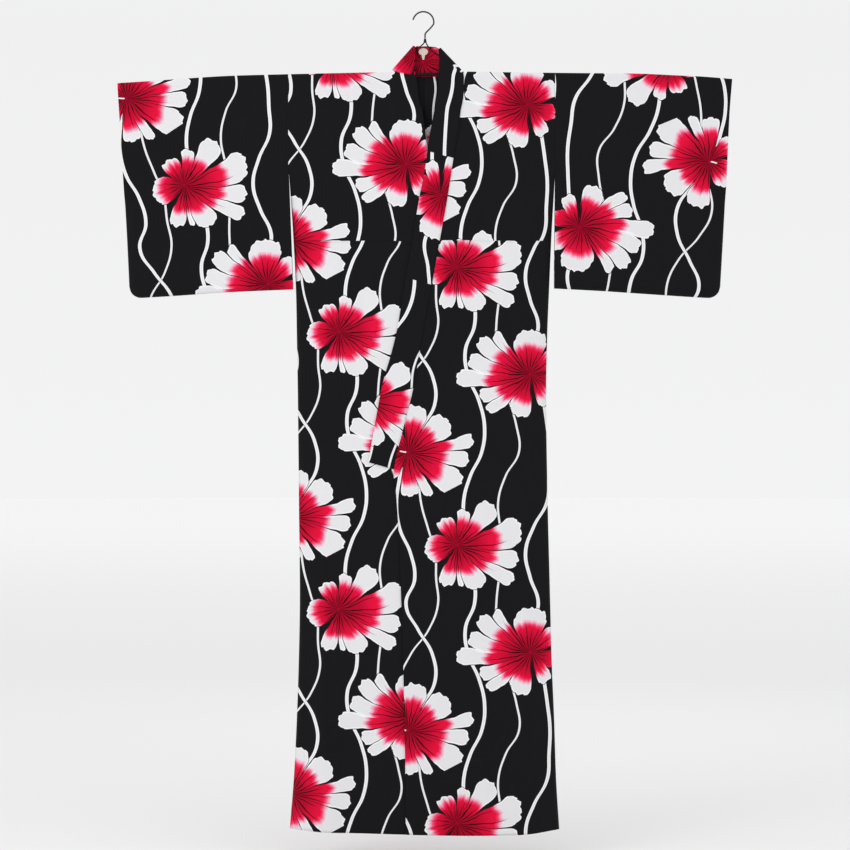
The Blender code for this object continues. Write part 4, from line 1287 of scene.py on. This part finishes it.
def tube(name, points, radius, material):
    """A smooth round wire through these points, with rounded ends."""
    bm = bmesh.new()
    path = [Vector(point) for point in points]
    runs = [(b - a).normalized() for a, b in zip(path, path[1:])]
    rings, previous = [], None
    side = Vector((0.0, 1.0, 0.0))
    first = [(path[0] + runs[0] * (1.0 + back) * radius, runs[0], size) for size, back in WIRE_END]
    last = [(path[-1] - runs[-1] * (1.0 + back) * radius, runs[-1], size) for size, back in WIRE_END]
    stations = [(at, (a + b).normalized(), 1.0) for at, a, b in zip(path[1:], runs, runs[1:])]
    stations = first + stations + last[::-1]
    for centre, run, size in stations:
        other = run.cross(side).normalized()
        ring = bmesh.ops.create_circle(bm, segments=20, radius=radius * size)["verts"]
        for vert in ring:
            vert.co = centre + side * vert.co.x + other * vert.co.y
        edges = list({edge for vert in ring for edge in vert.link_edges})
        if previous:
            bmesh.ops.bridge_loops(bm, edges=previous + edges)
        previous = edges
        rings.append(ring)
    for ring in (rings[0], rings[-1]):
        bmesh.ops.contextual_create(bm, geom=ring)
    return hard_piece(name, bm, material)


def hard_piece(name, bm, material):
    bmesh.ops.recalc_face_normals(bm, faces=bm.faces)
    piece = new_piece(name, bm, material)
    piece.data.shade_smooth()
    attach(piece, "root")
    return piece


def rounded_bends(points, reach=0.005):
    """The same path with each bend cut to a short curve."""
    made = [points[0]]
    for a, b, c in zip(points, points[1:], points[2:]):
        before = b + (a - b).normalized() * min(reach, (a - b).length * 0.4)
        after = b + (c - b).normalized() * min(reach, (c - b).length * 0.4)
        for t in (0.0, 0.25, 0.5, 0.75, 1.0):
            made.append(before.lerp(b, t).lerp(b.lerp(after, t), t))
    return made + [points[-1]]


hook_points = []
for step in range(49):
    turn = math.radians(mix(HOOK_TIP_ANGLE, HOOK_HEEL_ANGLE, step / 48))
    hook_z = HOOK_WIRE - HOOK_RADIUS + HOOK_RADIUS * math.sin(turn)
    hook_points.append((HOOK_RADIUS * math.cos(turn), 0.0, hook_z))
hook_points += [(x, 0.0, z) for x, z in HOOK_SHANK] + [(STEM_X, 0.0, STEM_FOOT)]
hook = tube("hook", hook_points, HOOK_WIRE, steel)
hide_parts("hanger_hook")

knob_top = STEM_FOOT - GAP
bm = bmesh.new()
bmesh.ops.create_cone(
    bm,
    cap_ends=True,
    segments=32,
    radius1=KNOB_FOOT_RADIUS,
    radius2=KNOB_TOP_RADIUS,
    depth=KNOB_HEIGHT,
)
bmesh.ops.bevel(
    bm,
    geom=[edge for edge in bm.edges if abs(edge.verts[0].co.z - edge.verts[1].co.z) < 1e-6],
    offset=0.0009,
    offset_type="OFFSET",
    segments=4,
    profile=0.5,
    affect="EDGES",
    material=-1,
)
bmesh.ops.translate(bm, vec=(STEM_X, 0.0, knob_top - KNOB_HEIGHT / 2), verts=bm.verts)
knob = hard_piece("knob", bm, knob_black)
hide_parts("hanger_knob")

for side, (foot_x, bends) in WIRES.items():
    foot_z = shoulder(foot_x) - FOLD_RADIUS + BAR_RADIUS + GAP
    points = [
        Vector((STEM_X + math.copysign(WIRE_OUT, foot_x), 0.0, knob_top - KNOB_HEIGHT - WIRE_CLEAR))
    ]
    points += [Vector((x, 0.0, z)) for x, z in bends]
    points += [Vector((foot_x, 0.0, foot_z + WIRE_UPRIGHT)), Vector((foot_x, 0.0, foot_z))]
    wire = tube(f"wire_{side}", rounded_bends(points), WIRE, lacquer)
    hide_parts(f"hanger_wire_{side}")

# ---------------------------------------------------------------- floor, light and camera
#
# A pale floor, painted paler further behind the robe where the lamps light it less, so that it runs
# into a pale surround, soft light from the front and above, and a long lens level with the middle of
# the robe.

FLOOR_LEVEL, FLOOR_RADIUS = -1.862, 30.0
FLOOR_NEAR, FLOOR_FAR = (0.812, 0.812, 0.817), (0.93, 0.93, 0.935)
PAINTED_BRIGHTENING_REACH = 20.0  # how far behind the robe the floor's painted brightening, which makes up for the lamps' light falling off, reaches its palest
SKY = ((0.0, (0.895, 0.895, 0.90)), (0.14, (0.87, 0.87, 0.875)), (0.6, (1.0, 1.0, 1.0)))
CAMERA_DISTANCE, VIEW_WIDTH = 6.0, 1.87
CENTRE = Vector((0.0037, 0.0, -0.9075))

bm = bmesh.new()
bmesh.ops.create_circle(bm, cap_ends=True, segments=64, radius=FLOOR_RADIUS)
pale, shader = new_material("pale_floor", Roughness=0.9, Specular_IOR_Level=0.1)
away = object_place(pale.node_tree).parts()[1]
# painted light: the floor's colour turns paler further behind the robe, in place of the lamp light
# that falls off there
away.ease(0.0, PAINTED_BRIGHTENING_REACH).pick(FLOOR_NEAR, FLOOR_FAR).into(shader.inputs["Base Color"])
floor = new_piece("floor", bm, pale)
floor.location = (0.0, 0.0, FLOOR_LEVEL)

world = bpy.data.worlds.new("surround")
world.use_nodes = True
up = object_place(world.node_tree, "Generated").parts()[2]
up.ramp(SKY).into(world.node_tree.nodes["Background"].inputs[0])
bpy.context.scene.world = world

Light = namedtuple("Light", "name x y z size power")
for light in (
    Light("key", -2.4, -3.0, 0.4, 1.6, 26.0),
    Light("fill", 2.2, -3.0, -0.2, 2.2, 6.0),
    Light("back", 0.6, 3.0, 0.8, 2.0, 8.0),
):
    data = bpy.data.lights.new(light.name, "AREA")
    data.size = light.size
    data.energy = light.power
    lamp = bpy.data.objects.new(light.name, data)
    lamp.location = (light.x, light.y, light.z)
    lamp.rotation_euler = (CENTRE - lamp.location).to_track_quat("-Z", "Y").to_euler()
    bpy.context.scene.collection.objects.link(lamp)

bpy.context.scene.view_settings.view_transform = "Standard"
lens = bpy.data.cameras.new("camera")
lens.sensor_width = 36.0
lens.lens = 36.0 * CAMERA_DISTANCE / VIEW_WIDTH
lens.clip_end = 200.0
camera = bpy.data.objects.new("camera", lens)
camera.location = CENTRE - Vector((0.0, CAMERA_DISTANCE, 0.0))
camera.rotation_euler = (math.pi / 2, 0.0, 0.0)
bpy.context.scene.collection.objects.link(camera)
bpy.context.scene.camera = camera
